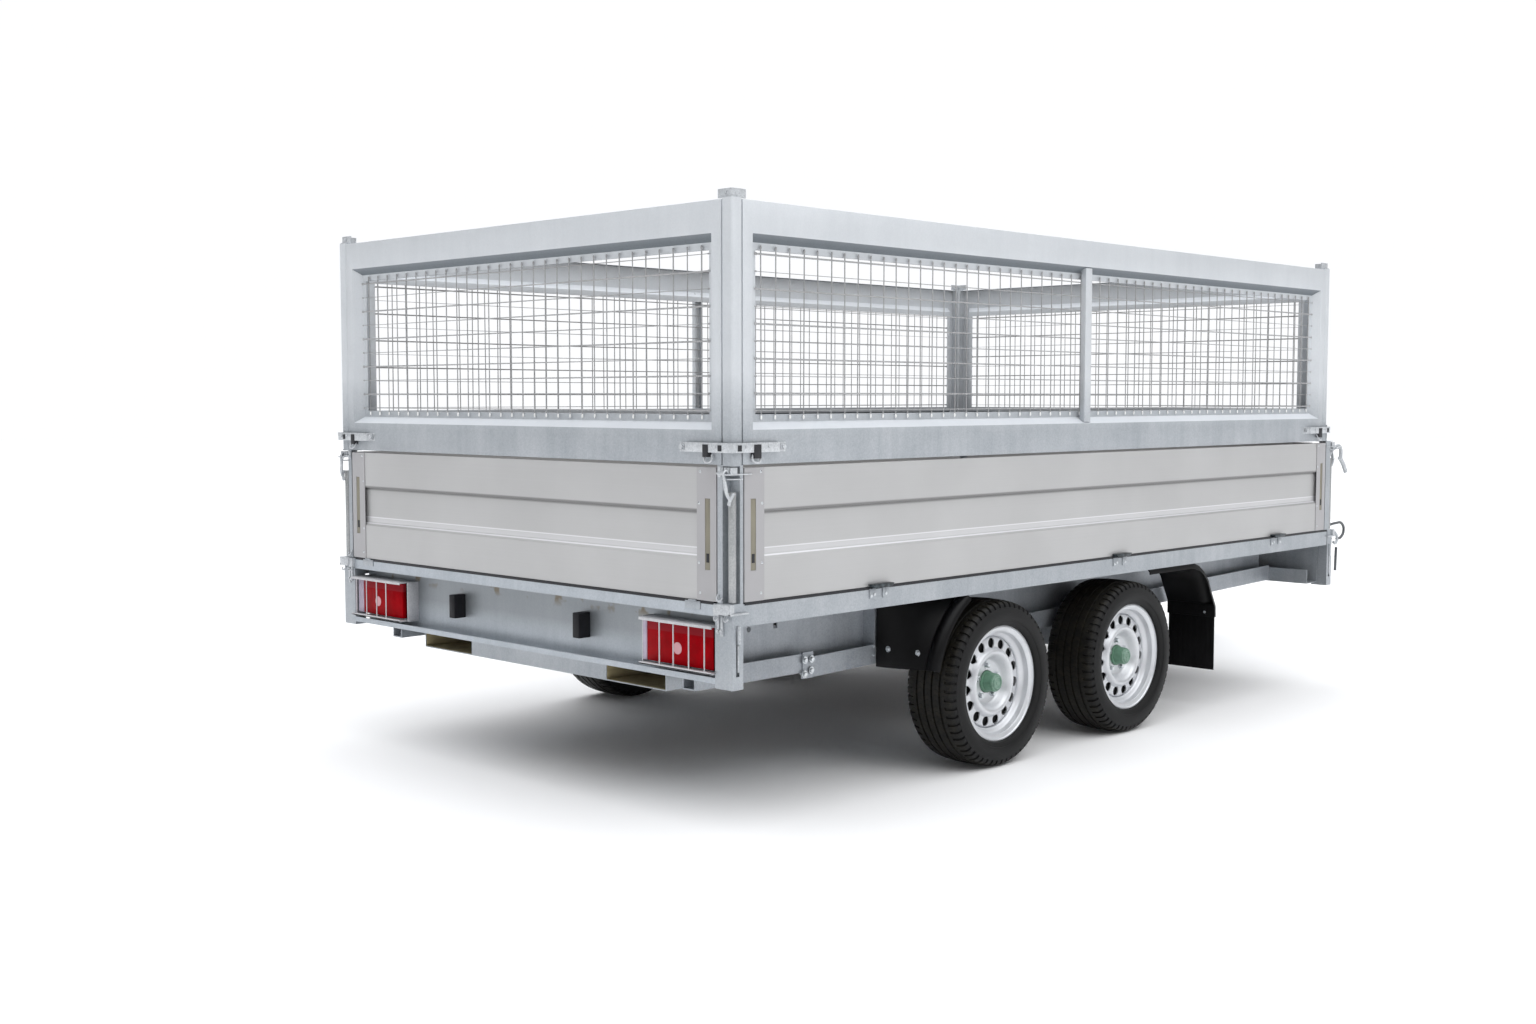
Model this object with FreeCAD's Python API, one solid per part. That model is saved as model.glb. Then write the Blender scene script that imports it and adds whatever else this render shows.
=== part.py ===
import FreeCAD, Part
import math
import os

# Twin-axle flatbed trailer with four drop sides, a mesh cage on top, an overrun drawbar and a jockey wheel.
# +X is the trailer's right side, +Y points to the drawbar, +Z is up, sizes are in millimetres.
# Pieces are drawn with Y measured from the rear face of the bed; save() puts the origin on the
# ground below the middle of the whole trailer.

Vector = FreeCAD.Vector

# Bed
bed_width = 1888.0
bed_length = 3440.0
front_post_stand = 45.0
wheel_room = 30.0
rail_height = 59.0
rail_flange = 38.0
rail_sheet = 3.0
deck_board = 15.0
deck_joint = 0.5
deck_side_room = 2.0

# Chassis
beam_inset = 204.0
beam_depth = 50.0
beam_sheet = 4.0
beam_height = 217.0
beam_front_height = 151.0
beam_lip = 60.0
tail_length = 470.0
tail_height = 199.0
tail_lip = 55.0
splice_length = 44.0
web_hole_run = 253.0
web_hole_drop = 59.0
web_hole_radius = 8.0
web_window_run = 362.0
web_window = 16.0
crossbeam_depth = 57.0
crossbeam_height = 214.0
crossbeam_lip = 16.0
rear_rail_height = 34.0
front_beam_depth = 90.0
front_beam_lip = 56.0
member_count = 6
member_width = 60.0
member_sheet = 3.0
member_rear_run = 420.0
member_front_room = 120.0

# Corner posts
pocket_width = 65.0
pocket_depth = 40.0
pocket_wall = 3.0
pocket_height = 225.0
pocket_slot_width = 12.0
pocket_slot_height = 120.0
pocket_slot_rise = 35.0
stake_flange_x = 29.0
stake_groove = 26.0
stake_side = 40.0
stake_tongue = 65.0
stake_sheet = 3.0
latch_rod_radius = 11.0
latch_rod_room = 70.0
latch_lever_reach = 22.0
latch_lever_radius = 5.0
latch_lever_drop = 6.0
latch_handle_length = 85.0
latch_handle_lean = 4.0

# Drop sides
dropside_height = 353.0
dropside_thick = 25.0
dropside_wall = 2.5
dropside_recess = 9.0
dropside_upper_zone = 118.0
dropside_lower_zone = 122.0
dropside_slope = 12.0
dropside_step = 2.0
cap_width = 74.0
cap_sheet = 2.0
cap_slot_width = 20.0
cap_slot_height = 190.0
cap_slot_shift = 4.0
swing_gap = 5.0
hinge_offset = 12.0
hinge_radius = 7.0
hinge_pin_radius = 4.0
hinge_length = 90.0
hinge_drop = 4.0
hinge_sheet = 4.0
hinge_bracket_drop = 34.0
hinge_plate_rise = 11.0
rear_hinge_inset = 542.0
front_hinge_inset = 406.0
middle_hinge_shift = 75.0
end_hinge_inset = 90.0
fit_gap = 0.3
pin_fit = 0.05

# Mesh cage
cage_setback = 68.0
cage_gap = 8.0
cage_height = 687.0
cage_post = 40.0
cage_post_wall = 3.0
cage_post_radius = 8.0
cage_post_stand = 3.0
frame_gap = 0.5
top_rail_face = 85.0
low_rail_face = 91.0
stile_face = 36.0
frame_sheet = 3.0
frame_slant = 3.9
frame_step = 20.0
frame_depth = 30.0
frame_lip = 20.0
upright_width = 36.0
upright_shift = 46.0
wire = 3.5
wire_pitch = 50.0
wire_seat = 12.0
strap_reach = 200.0
strap_height = 26.0
strap_sheet = 4.0
strap_stand = 14.0
strap_foot = 28.0
strap_rise = 32.0
bracket_arm = 60.0
bracket_height = 24.0
bracket_sheet = 4.0
bracket_inset = 8.0

# Wheels and axles
tyre_diameter = 525.0
tyre_section = 195.0
tyre_tread = 164.0
tyre_crown = 18.0
tyre_wall = 6.0
tyre_bulge_radius = 213.0
rim_diameter = 330.2
rim_flange = 17.3
rim_width = 139.7
rim_sheet = 5.0
rim_well = 16.0
rim_inset = 12.0
rim_outer_seat = 16.0
rim_inner_seat = 30.0
rim_well_slope = 11.0
disc_inset = 44.0
disc_plate_radius = 68.0
disc_crest_rise = 33.0
disc_crest_radius = 97.0
disc_crest_width = 12.0
disc_band_rise = 18.0
disc_edge_rise = 4.0
hand_hole_count = 15
hand_hole_radius = 14.0
hand_hole_circle = 124.0
wheel_bolt_count = 5
wheel_bolt_circle = 52.0
wheel_bolt_radius = 9.5
wheel_bolt_length = 14.0
hub_radius = 36.0
hub_collar = 8.0
hub_cone = 4.0
hub_bore_radius = 17.0
hub_nose_radius = 28.0
hub_nose_length = 52.0
hub_cap = 6.0
drum_radius = 110.0
drum_width = 58.0
drum_face = 30.0
drum_bevel = 6.0
drum_bevel_depth = 8.0
rear_axle_y = 1176.0
axle_spacing = 746.0
axle_tube = 78.0
axle_drop = 10.0
axle_hanger_lap = 20.0
swing_arm_length = 150.0
swing_arm_width = 30.0
swing_arm_height = 60.0
stub_radius = 30.0
spindle_room = 12.0
backplate_radius = 116.0
backplate_sheet = 4.0
backplate_room = 2.0

# Mudguards
guard_overhang = 4.0
guard_width = 200.0
guard_sheet = 4.0
guard_meet_angle = 120.0
guard_tail_angle = 165.0
guard_tail_run = 40.0
guard_rise = 74.5
guard_bend = 150.0
guard_bend_run = 30.0
guard_bend_start = 80.0
guard_bend_end = 20.0
guard_top_start = 112.0
guard_end_drop = 35.0
guard_stay_run = 749.0
guard_stay_sheet = 4.0
flap_height = 235.0
flap_sheet = 6.0
flap_overlap = 50.0
flap_margin = 5.0
front_guard_reach = 584.0

# Lamps
lamp_inset = 31.0
lamp_width = 256.0
lamp_rise = 30.0
lamp_height = 118.0
lamp_face_y = 8.0
lens_depth = 18.0
lens_bevel = 6.0
lens_margin = 2.0
lamp_wall_gap = 0.3
lamp_cage_bar = 5.0
lamp_cage_bars = 4
lamp_cage_bar_inset = 50.0
lamp_cage_bar_room = 10.0
lamp_cage_stand = 21.0
lamp_cage_strip = 20.0
lamp_cage_sheet = 4.0
lamp_cage_side = 22.0
lamp_cage_end = 8.0
lamp_cage_bevel = 24.0
lamp_cage_drop = 6.0
plate_lamp_x = 308.0
plate_lamp_width = 50.0
plate_lamp_height = 72.0
plate_lamp_depth = 44.0
plate_lamp_rise = 63.0
plate_lamp_hood = 18.0
plate_lamp_hood_depth = 14.0
plate_lamp_bevel = 8.0

# Ramp channels
ramp_side_room = 98.0
ramp_width = 262.0
ramp_height = 66.0
ramp_length = 1500.0
ramp_start_y = 85.0
ramp_sheet = 3.0
ramp_carrier = 34.0

# Drawbar
drawbar_length = 1410.0
arm_width = 45.0
arm_height = 70.0
arm_inset = 130.0
arm_rear_reach = 895.0
arm_front_x = 42.0
arm_front_reach = 760.0
arm_nose = 60.0
arm_foot_length = 120.0
arm_foot_sheet = 12.0
tie_reach = 60.0
tie_width = 40.0
tie_inset = 10.0
coupling_rise = 30.0
tow_tube_radius = 28.0
overrun_width = 110.0
overrun_length = 220.0
overrun_lap = 190.0
overrun_bevel = 20.0
overrun_top = 40.0
overrun_shoulder = 10.0
saddle_sheet = 6.0
bellows_count = 7
bellows_valley = 4.0
bellows_crest = 14.0
bellows_end_room = 60.0
head_length = 210.0
head_lap = 30.0
head_wall = 7.0
head_sleeve = 110.0
head_waist = 34.0
head_width = 92.0
head_nose = 32.0
head_nose_bevel = 12.0
head_depth = 26.0
head_top = 28.0
dome_radius = 38.0
dome_height = 40.0
lift_handle_length = 150.0
lift_handle_width = 28.0
lift_handle_sheet = 12.0
lift_handle_rise = 26.0
ball_setback = 48.0
ball_radius = 25.0
ball_play = 0.4
socket_depth = 30.0
brake_setback = 60.0
brake_plate_sheet = 8.0
brake_plate_width = 100.0
brake_plate_height = 60.0
brake_arm_sheet = 10.0
brake_arm_width = 28.0
brake_arm_lean = 150.0
brake_arm_height = 268.0
brake_grip_radius = 13.0
brake_grip_length = 125.0
brake_grip_lean = 80.0

# Jockey wheel
jockey_x = -130.0
jockey_setback = 180.0
jockey_tube_radius = 24.0
jockey_clamp_rise = 12.0
jockey_clamp_height = 56.0
jockey_clamp_wall = 8.0
jockey_clamp_lever = 45.0
jockey_clamp_lever_radius = 6.0
jockey_tube_drop = 28.0
jockey_tube_length = 346.0
jockey_tube_cap = 5.0
jockey_stem_radius = 9.0
jockey_stem_height = 28.0
jockey_crank_length = 80.0
jockey_crank_width = 16.0
jockey_crank_sheet = 6.0
jockey_knob_radius = 11.0
jockey_knob_length = 80.0
jockey_leg_radius = 20.0
jockey_leg_wall = 3.0
jockey_leg_floor = 8.0
jockey_leg_room = 132.0
jockey_fork_rise = 38.0
jockey_fork_sheet = 5.0
jockey_fork_room = 5.0
jockey_fork_half = 24.0
jockey_fork_foot = 18.0
jockey_crown = 8.0
jockey_wheel_radius = 100.0
jockey_wheel_width = 50.0
jockey_web_width = 16.0
jockey_boss_radius = 26.0
jockey_boss_stand = 2.0
jockey_tyre_depth = 42.0
jockey_tread_bevel = 10.0
jockey_pin_radius = 8.0
jockey_trail = 35.0

# Sizes that follow from those above
half_width = bed_width / 2
load_height = tyre_diameter + wheel_room + rail_height
rail_low_z = load_height - rail_height
beam_outer_x = half_width - beam_inset
beam_web_x = beam_outer_x - beam_depth
beam_low_z = rail_low_z - beam_height
beam_front_low_z = rail_low_z - beam_front_height
tail_low_z = rail_low_z - tail_height
crossbeam_low_z = load_height - crossbeam_height
pocket_low_z = load_height - pocket_height
panel_low_z = load_height + swing_gap
panel_top_z = panel_low_z + dropside_height
cage_low_z = panel_top_z + cage_gap
cage_top_z = cage_low_z + cage_height
cage_length = bed_length - cage_setback
upright_y = cage_length / 2 - upright_shift
strap_low_z = cage_low_z + strap_rise
side_start = stake_side + swing_gap
side_end = cage_length - swing_gap
wheel_radius = tyre_diameter / 2
axle_ys = [rear_axle_y, rear_axle_y + axle_spacing]
axle_tube_top = beam_low_z - axle_drop
rim_face_x = half_width - rim_inset
hub_face_x = rim_face_x - disc_inset - rim_sheet - fit_gap
guard_outer_x = half_width + guard_overhang
guard_inner_x = guard_outer_x - guard_width
guard_low_z = wheel_radius + guard_rise
hinge_axis_z = load_height - hinge_drop
deck_length = bed_length - front_post_stand
lamp_outer_x = half_width - pocket_width - lamp_inset
lamp_inner_x = lamp_outer_x - lamp_width
lamp_low_z = crossbeam_low_z + lamp_rise
plate_lamp_z = crossbeam_low_z + plate_lamp_rise
ramp_inner_x = beam_web_x - ramp_side_room - ramp_width
arm_rear_x = beam_web_x - arm_inset
arm_rear_y = deck_length - arm_rear_reach
arm_low_z = crossbeam_low_z - arm_height
coupling_z = crossbeam_low_z + coupling_rise
overrun_start_y = bed_length + arm_front_reach - overrun_lap
jockey_y = overrun_start_y + jockey_setback
jockey_clamp_low = crossbeam_low_z + jockey_clamp_rise
jockey_tube_low = jockey_clamp_low - jockey_tube_drop
jockey_tube_top = jockey_tube_low + jockey_tube_length
jockey_fork_top = 2 * jockey_wheel_radius + jockey_fork_rise
overall_length = bed_length + drawbar_length
middle_y = overall_length / 2


def box(x0, x1, y0, y1, z0, z1):
    """Box between two corners."""
    return Part.makeBox(x1 - x0, y1 - y0, z1 - z0, Vector(x0, y0, z0))


def flat_face(corners):
    """Flat face with the given corners."""
    return Part.Face(Part.makePolygon(corners + corners[:1]))


def along_x(outline, x0, x1):
    """Bar along X with its (y, z) outline."""
    return flat_face([Vector(x0, y, z) for y, z in outline]).extrude(Vector(x1 - x0, 0, 0))


def along_y(outline, y0, y1):
    """Bar along Y with its (x, z) outline."""
    return flat_face([Vector(x, y0, z) for x, z in outline]).extrude(Vector(0, y1 - y0, 0))


def along_z(outline, z0, z1):
    """Bar along Z with its (x, y) outline."""
    return flat_face([Vector(x, y, z0) for x, y in outline]).extrude(Vector(0, 0, z1 - z0))


def folded(path, sheet):
    """Outline of a folded sheet: the path, and the same path set off to its left by the thickness."""
    normals = []
    for (a, b), (c, d) in zip(path, path[1:]):
        run = math.hypot(c - a, d - b)
        normals.append(((b - d) / run, (c - a) / run))
    inside = []
    for i, (a, b) in enumerate(path):
        n = normals[max(i - 1, 0)]
        m = normals[min(i, len(normals) - 1)]
        k = sheet / (1 + n[0] * m[0] + n[1] * m[1])
        inside.append((a + (n[0] + m[0]) * k, b + (n[1] + m[1]) * k))
    return path + inside[::-1]


def arc(cx, cy, radius, start, end, steps):
    """Points on an arc, angles in degrees."""
    turns = [math.radians(start + (end - start) * i / steps) for i in range(steps + 1)]
    return [(cx + radius * math.cos(t), cy + radius * math.sin(t)) for t in turns]


def rod(start, end, radius):
    """Round bar from one point to another."""
    way = Vector(*end) - Vector(*start)
    return Part.makeCylinder(radius, way.Length, Vector(*start), way)


def fuse(first, *others):
    """One solid from touching or overlapping pieces."""
    return first.multiFuse(list(others)).removeSplitter()


def other_side(shape):
    """The same piece on the trailer's left side."""
    return shape.mirror(Vector(0, 0, 0), Vector(1, 0, 0))


def other_end(shape, length):
    """The same piece at the front end of the bed."""
    return shape.mirror(Vector(0, length / 2, 0), Vector(0, 1, 0))


def both_sides(shape):
    return [shape, other_side(shape)]


def four_corners(shape, length):
    pair = both_sides(shape)
    return pair + [other_end(piece, length) for piece in pair]


def save(node, *shapes):
    """Write one sub-part, moved so that the origin lies below the middle of the trailer."""
    pieces = []
    for shape in shapes:
        pieces += shape.copy().Solids
    whole = pieces[0] if len(pieces) == 1 else Part.makeCompound(pieces)
    whole.translate(Vector(0, -middle_y, 0))
    os.makedirs("parts", exist_ok=True)
    whole.exportStep("parts/" + node + ".step")


def beam_lower_edge(y):
    """Height of the main beam's lower edge: it rises gently from its tail joint to the front."""
    start = crossbeam_depth + tail_length
    end = deck_length - front_beam_depth
    return beam_low_z + (beam_front_low_z - beam_low_z) * (y - start) / (end - start)


def main_beam():
    """Right longitudinal: a channel open outwards, its lower flange rising to the front, with a short tail."""
    start = crossbeam_depth
    joint = start + tail_length
    end = deck_length - front_beam_depth
    web_x = beam_web_x
    low_joint = beam_lower_edge(joint)
    low_end = beam_lower_edge(end)
    web = along_x([(start, tail_low_z), (joint, tail_low_z), (joint, low_joint), (end, low_end),
                   (end, rail_low_z), (start, rail_low_z)], web_x, web_x + beam_sheet)
    hole_z = rail_low_z - web_hole_drop
    hole = rod((web_x - beam_sheet, start + web_hole_run, hole_z),
               (web_x + 2 * beam_sheet, start + web_hole_run, hole_z), web_hole_radius)
    window_y = start + web_window_run
    window = box(web_x - beam_sheet, web_x + 2 * beam_sheet, window_y - web_window / 2,
                 window_y + web_window / 2, hole_z - web_window / 2, hole_z + web_window / 2)
    top = box(web_x, beam_outer_x, start, end, rail_low_z - beam_sheet, rail_low_z)
    tail_flange = box(web_x, beam_outer_x, start, joint, tail_low_z, tail_low_z + beam_sheet)
    flange = along_x([(joint, low_joint), (end, low_end), (end, low_end + beam_sheet),
                      (joint, low_joint + beam_sheet)], web_x, beam_outer_x)
    tail_upturn = box(beam_outer_x - beam_sheet, beam_outer_x, start, joint, tail_low_z, tail_low_z + tail_lip)
    upturn = along_x([(joint, low_joint), (end, low_end), (end, low_end + beam_lip),
                      (joint, low_joint + beam_lip)], beam_outer_x - beam_sheet, beam_outer_x)
    splice = box(beam_outer_x - beam_sheet, beam_outer_x + beam_sheet, joint - splice_length, joint,
                 low_joint, tail_low_z + tail_lip + beam_sheet)
    stay_y = start + guard_stay_run
    stay = box(web_x, beam_outer_x, stay_y, stay_y + guard_stay_sheet, beam_lower_edge(stay_y), rail_low_z)
    return fuse(web.cut(hole).cut(window), top, tail_flange, flange, tail_upturn, upturn, splice, stay)


def cross_members():
    """Hat channels across the main beams that carry the deck and the side rails."""
    low = rail_low_z
    high = load_height - deck_board - deck_joint
    reach = half_width - rail_sheet
    first = crossbeam_depth + member_rear_run
    pitch = (deck_length - front_beam_depth - member_front_room - first) / (member_count - 1)
    pieces = []
    for i in range(member_count):
        y = first + i * pitch
        path = [(y - member_width / 2, low), (y - member_width / 2, high),
                (y + member_width / 2, high), (y + member_width / 2, low)]
        pieces.append(along_x(folded(path[::-1], member_sheet), -reach, reach))
    return pieces


def side_rail():
    """Right side rail of the bed: a channel open inwards."""
    outer = half_width
    path = [(outer - rail_flange, load_height), (outer, load_height), (outer, rail_low_z),
            (outer - rail_flange, rail_low_z)]
    bar = along_y(folded(path[::-1], rail_sheet), pocket_depth, deck_length)
    for member in cross_members():
        bar = bar.cut(member)
    return bar


def rear_crossbeam():
    """Rear beam: a channel open to the rear, with the rear rail as its upper lip."""
    path = [(0, load_height - rear_rail_height), (0, load_height), (crossbeam_depth, load_height),
            (crossbeam_depth, crossbeam_low_z), (0, crossbeam_low_z),
            (0, crossbeam_low_z + crossbeam_lip)]
    reach = half_width - pocket_width
    return along_x(folded(path[::-1], rail_sheet), -reach, reach)


def front_crossbeam():
    """Front beam: a channel open to the rear, under the deck's front edge."""
    front = deck_length
    back = deck_length - front_beam_depth
    low = crossbeam_low_z
    path = [(back, low + front_beam_lip), (back, low), (front, low), (front, load_height),
            (front - pocket_depth, load_height), (front - pocket_depth, load_height - rail_sheet * 2)]
    reach = half_width - rail_flange - fit_gap
    return along_x(folded(path, rail_sheet), -reach, reach)


def deck():
    """Plywood deck, let in between the rails and resting on the cross members."""
    reach = half_width - rail_flange - deck_side_room
    top = load_height - deck_joint
    return box(-reach, reach, crossbeam_depth + deck_side_room, deck_length - pocket_depth - deck_side_room,
               top - deck_board, top)


def pocket():
    """Rear right corner pocket: a square tube that takes the corner stake, with a slot in its side."""
    x0 = half_width - pocket_width
    tube = box(x0, half_width, 0, pocket_depth, pocket_low_z, load_height)
    bore = box(x0 + pocket_wall, half_width - pocket_wall, pocket_wall, pocket_depth - pocket_wall,
               pocket_low_z - pocket_wall, load_height + pocket_wall)
    slot_y = pocket_depth / 2
    slot_z = pocket_low_z + pocket_slot_rise
    slot = box(half_width - 2 * pocket_wall, half_width + pocket_wall, slot_y - pocket_slot_width / 2,
               slot_y + pocket_slot_width / 2, slot_z, slot_z + pocket_slot_height)
    return tube.cut(bore).cut(slot)


def stake(side_reach):
    """Rear right corner stake between pocket and cage: a folded sheet with a deep outer groove."""
    x0 = half_width - pocket_width + 2 * swing_gap
    x1 = x0 + stake_flange_x - 2 * swing_gap
    y1 = stake_groove + stake_sheet
    path = [(x0, 0), (x1, 0), (x1, y1), (half_width, y1), (half_width, side_reach)]
    sheet = along_z(folded(path, stake_sheet), load_height, cage_low_z)
    foot = box(x0, half_width, 0, pocket_depth, load_height, load_height + stake_sheet)
    head = box(x0, half_width, 0, side_reach, cage_low_z - stake_sheet, cage_low_z)
    return fuse(sheet, foot, head)


def front_stake():
    """Front right corner stake, with a wider side flange and a tongue that the cage corner bolts to."""
    reach = bed_length - cage_length - fit_gap
    tongue = box(half_width - cage_post, half_width, reach - stake_sheet, reach,
                 cage_low_z - stake_sheet, cage_low_z + stake_tongue)
    return other_end(fuse(stake(reach), tongue), bed_length)


def latch():
    """Corner latch: a round locking bar in the stake's groove, with a curved handle at its top."""
    x = half_width - latch_rod_radius - fit_gap
    y = latch_rod_radius + fit_gap
    low = load_height + stake_sheet + fit_gap
    high = cage_low_z - latch_rod_room
    bar = rod((x, y, low), (x, y, high), latch_rod_radius)
    lever_y = y - latch_lever_reach
    lever_z = high - latch_lever_drop
    lever = rod((x, y, lever_z), (x, lever_y, lever_z), latch_lever_radius)
    handle = rod((x, lever_y, lever_z), (x, lever_y - latch_handle_lean, lever_z - latch_handle_length),
                 latch_lever_radius)
    return fuse(bar, lever, handle)


def panel_outline(outer, inward, low):
    """Outer (across, z) outline of a drop side with its recessed middle zone."""
    def at(depth):
        return outer + inward * depth
    top = low + dropside_height
    upper = top - dropside_upper_zone
    lower = low + dropside_lower_zone
    return [(at(cap_sheet), low), (at(cap_sheet), lower - dropside_slope),
            (at(cap_sheet + dropside_recess), lower), (at(cap_sheet + dropside_recess), upper),
            (at(cap_sheet), upper + dropside_step), (at(cap_sheet), top), (at(dropside_thick), top),
            (at(dropside_thick), low)]


def panel_hollow(outer, inward, low):
    """Inner outline of the same hollow section."""
    def at(depth):
        return outer + inward * depth
    wall = dropside_wall
    top = low + dropside_height
    upper = top - dropside_upper_zone
    lower = low + dropside_lower_zone
    return [(at(cap_sheet + wall), low + wall), (at(cap_sheet + wall), lower - dropside_slope - wall / 2),
            (at(cap_sheet + dropside_recess + wall), lower - wall / 2),
            (at(cap_sheet + dropside_recess + wall), upper + wall),
            (at(cap_sheet + wall), upper + dropside_step + wall), (at(cap_sheet + wall), top - wall),
            (at(dropside_thick - wall), top - wall), (at(dropside_thick - wall), low + wall)]


def dropside(length_start, length_end, side):
    """A drop side and its two end caps, as (panel, caps); side is 'x' for the right, 'y' for the rear."""
    low = panel_low_z
    high = low + dropside_height
    outer, inward = (half_width, -1) if side == "x" else (0.0, 1)
    panel_start = length_start + cap_sheet + fit_gap
    panel_end = length_end - cap_sheet - fit_gap
    draw = along_y if side == "x" else along_x
    ring = panel_outline(outer, inward, low)
    hole = panel_hollow(outer, inward, low)
    panel = draw(ring, panel_start, panel_end)
    panel = panel.cut(draw(hole, panel_start - dropside_wall, panel_end + dropside_wall))
    front = outer + inward * (cap_sheet - fit_gap)
    back = outer + inward * (dropside_thick + fit_gap)
    back_skin = outer + inward * (dropside_thick + cap_sheet)
    slot_floor = outer + inward * (cap_sheet - fit_gap / 2)
    slot_low = low + (dropside_height - cap_slot_height) / 2
    slot_high = slot_low + cap_slot_height
    outline_out = [(outer, low), (outer, high), (back_skin, high), (back_skin, low)]
    outline_in = [(front, low - cap_sheet), (front, high + cap_sheet), (back, high + cap_sheet),
                  (back, low - cap_sheet)]
    outline_slot = [(outer - inward * cap_sheet, slot_low), (outer - inward * cap_sheet, slot_high),
                    (slot_floor, slot_high), (slot_floor, slot_low)]
    caps = []
    for start, end, closed in ((length_start, length_start + cap_width, 1),
                               (length_end - cap_width, length_end, -1)):
        inner_start = start + cap_sheet if closed > 0 else start - cap_sheet
        inner_end = end + cap_sheet if closed > 0 else end - cap_sheet
        cap = draw(outline_out, start, end).cut(draw(outline_in, inner_start, inner_end))
        middle = (start + end) / 2 - closed * cap_slot_shift
        caps.append(cap.cut(draw(outline_slot, middle - cap_slot_width / 2, middle + cap_slot_width / 2)))
    return panel, caps


def hinge(place, side):
    """One drop side hinge as (fixed leaf with its pin, moving leaf), drawn for the right side or the rear."""
    axis = hinge_offset
    z = hinge_axis_z
    half = hinge_length / 2
    middle = hinge_length / 6
    sheet = hinge_sheet
    lengthwise = Vector(0, 1, 0)
    ears = []
    for start, end in ((-half, -middle - fit_gap), (middle + fit_gap, half)):
        knuckle = Part.makeCylinder(hinge_radius, end - start, Vector(axis, start, z), lengthwise)
        tongue = box(0, axis, start, end, z - hinge_radius, z - hinge_radius + sheet)
        lug = box(0, sheet, start, end, z - hinge_bracket_drop, z - hinge_radius + sheet)
        ears += [knuckle, tongue, lug]
    pin = Part.makeCylinder(hinge_pin_radius, hinge_length, Vector(axis, -half, z), lengthwise)
    fixed = fuse(pin, *ears)
    barrel = Part.makeCylinder(hinge_radius, 2 * middle, Vector(axis, -middle, z), lengthwise)
    arm = box(fit_gap, axis, -middle, middle, z + hinge_radius - sheet, z + hinge_radius)
    leaf = box(fit_gap, sheet, -middle, middle, z + hinge_radius - sheet, panel_low_z + hinge_plate_rise)
    plate = box(fit_gap - cap_sheet, sheet, -middle, middle, panel_low_z + fit_gap,
                panel_low_z + hinge_plate_rise)
    bore = Part.makeCylinder(hinge_pin_radius + pin_fit, 4 * middle, Vector(axis, -2 * middle, z), lengthwise)
    moving = fuse(barrel, arm, leaf, plate).cut(bore)
    pair = []
    for shape in (fixed, moving):
        piece = shape.copy()
        if side == "y":
            piece.rotate(Vector(0, 0, 0), Vector(0, 0, 1), -90)
            piece.translate(Vector(place, 0, 0))
        else:
            piece.translate(Vector(half_width, place, 0))
        pair.append(piece)
    return pair


def rectangle(u0, u1, z0, z1, v):
    """Closed wire in the plane y = v."""
    corners = [Vector(u0, v, z0), Vector(u1, v, z0), Vector(u1, v, z1), Vector(u0, v, z1)]
    return Part.makePolygon(corners + corners[:1])


def ring_plate(outer, inner, v0, v1):
    """Flat frame between two rectangles, each given as (u0, u1, z0, z1)."""
    whole = box(outer[0], outer[1], v0, v1, outer[2], outer[3])
    return whole.cut(box(inner[0], inner[1], v0 - frame_sheet, v1 + frame_sheet, inner[2], inner[3]))


def inset(rect, by):
    return (rect[0] + by, rect[1] - by, rect[2] + by, rect[3] - by)


def frame_window(u0, u1):
    return (u0 + stile_face, u1 - stile_face, cage_low_z + low_rail_face, cage_top_z - top_rail_face)


def mesh_frame(u0, u1, uprights):
    """Pressed frame of one cage panel in the rear plane: face, sloping step and inner lip for the wires."""
    edge = (u0, u1, cage_low_z, cage_top_z)
    window = frame_window(u0, u1)
    face = ring_plate(edge, window, 0, frame_sheet)
    rim = ring_plate(edge, inset(edge, frame_sheet), 0, frame_depth)
    outside = Part.makeLoft([rectangle(*inset(window, -frame_slant), 0),
                             rectangle(*inset(window, frame_step - frame_slant), frame_depth)], True, True)
    inside = Part.makeLoft([rectangle(*window, 0), rectangle(*inset(window, frame_step), frame_depth)],
                           True, True)
    step = outside.cut(inside)
    lip = ring_plate(inset(window, frame_step - frame_slant), inset(window, frame_step + frame_lip),
                     frame_depth - frame_sheet, frame_depth)
    pieces = [rim, step, lip] + upright_wires(u0, u1)
    for u in uprights:
        depth = frame_depth - frame_sheet - 2 * wire - 2 * fit_gap
        path = [(u - upright_width / 2, depth), (u - upright_width / 2, 0), (u + upright_width / 2, 0),
                (u + upright_width / 2, depth)]
        pieces.append(along_z(folded(path, frame_sheet), window[2] - fit_gap, window[3] + fit_gap))
    return fuse(face, *pieces)


def wire_places(low, high):
    """Evenly pitched wire positions centred between two ends."""
    count = int((high - low - 2 * wire_seat) // wire_pitch)
    first = (low + high - count * wire_pitch) / 2
    return [first + i * wire_pitch for i in range(count + 1)]


def upright_wires(u0, u1):
    """Upright wires of one panel, welded on the outer side of the frame's lip."""
    window = inset(frame_window(u0, u1), frame_step + frame_lip - wire_seat)
    back = frame_depth - frame_sheet
    return [box(u - wire / 2, u + wire / 2, back - wire, back, window[2], window[3])
            for u in wire_places(window[0], window[1])]


def level_wires(u0, u1):
    """Level wires of one panel, lying on the upright wires."""
    window = inset(frame_window(u0, u1), frame_step + frame_lip - wire_seat)
    back = frame_depth - frame_sheet - wire - fit_gap
    return [box(window[0], window[1], back - wire, back, z - wire / 2, z + wire / 2)
            for z in wire_places(window[2], window[3])]


def to_right_side(shape):
    """Turn a piece drawn in the rear plane along +X so that it lies in the right side plane along +Y."""
    turned = shape.copy()
    turned.rotate(Vector(0, 0, 0), Vector(0, 0, 1), 90)
    turned.translate(Vector(half_width, 0, 0))
    return turned


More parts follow.
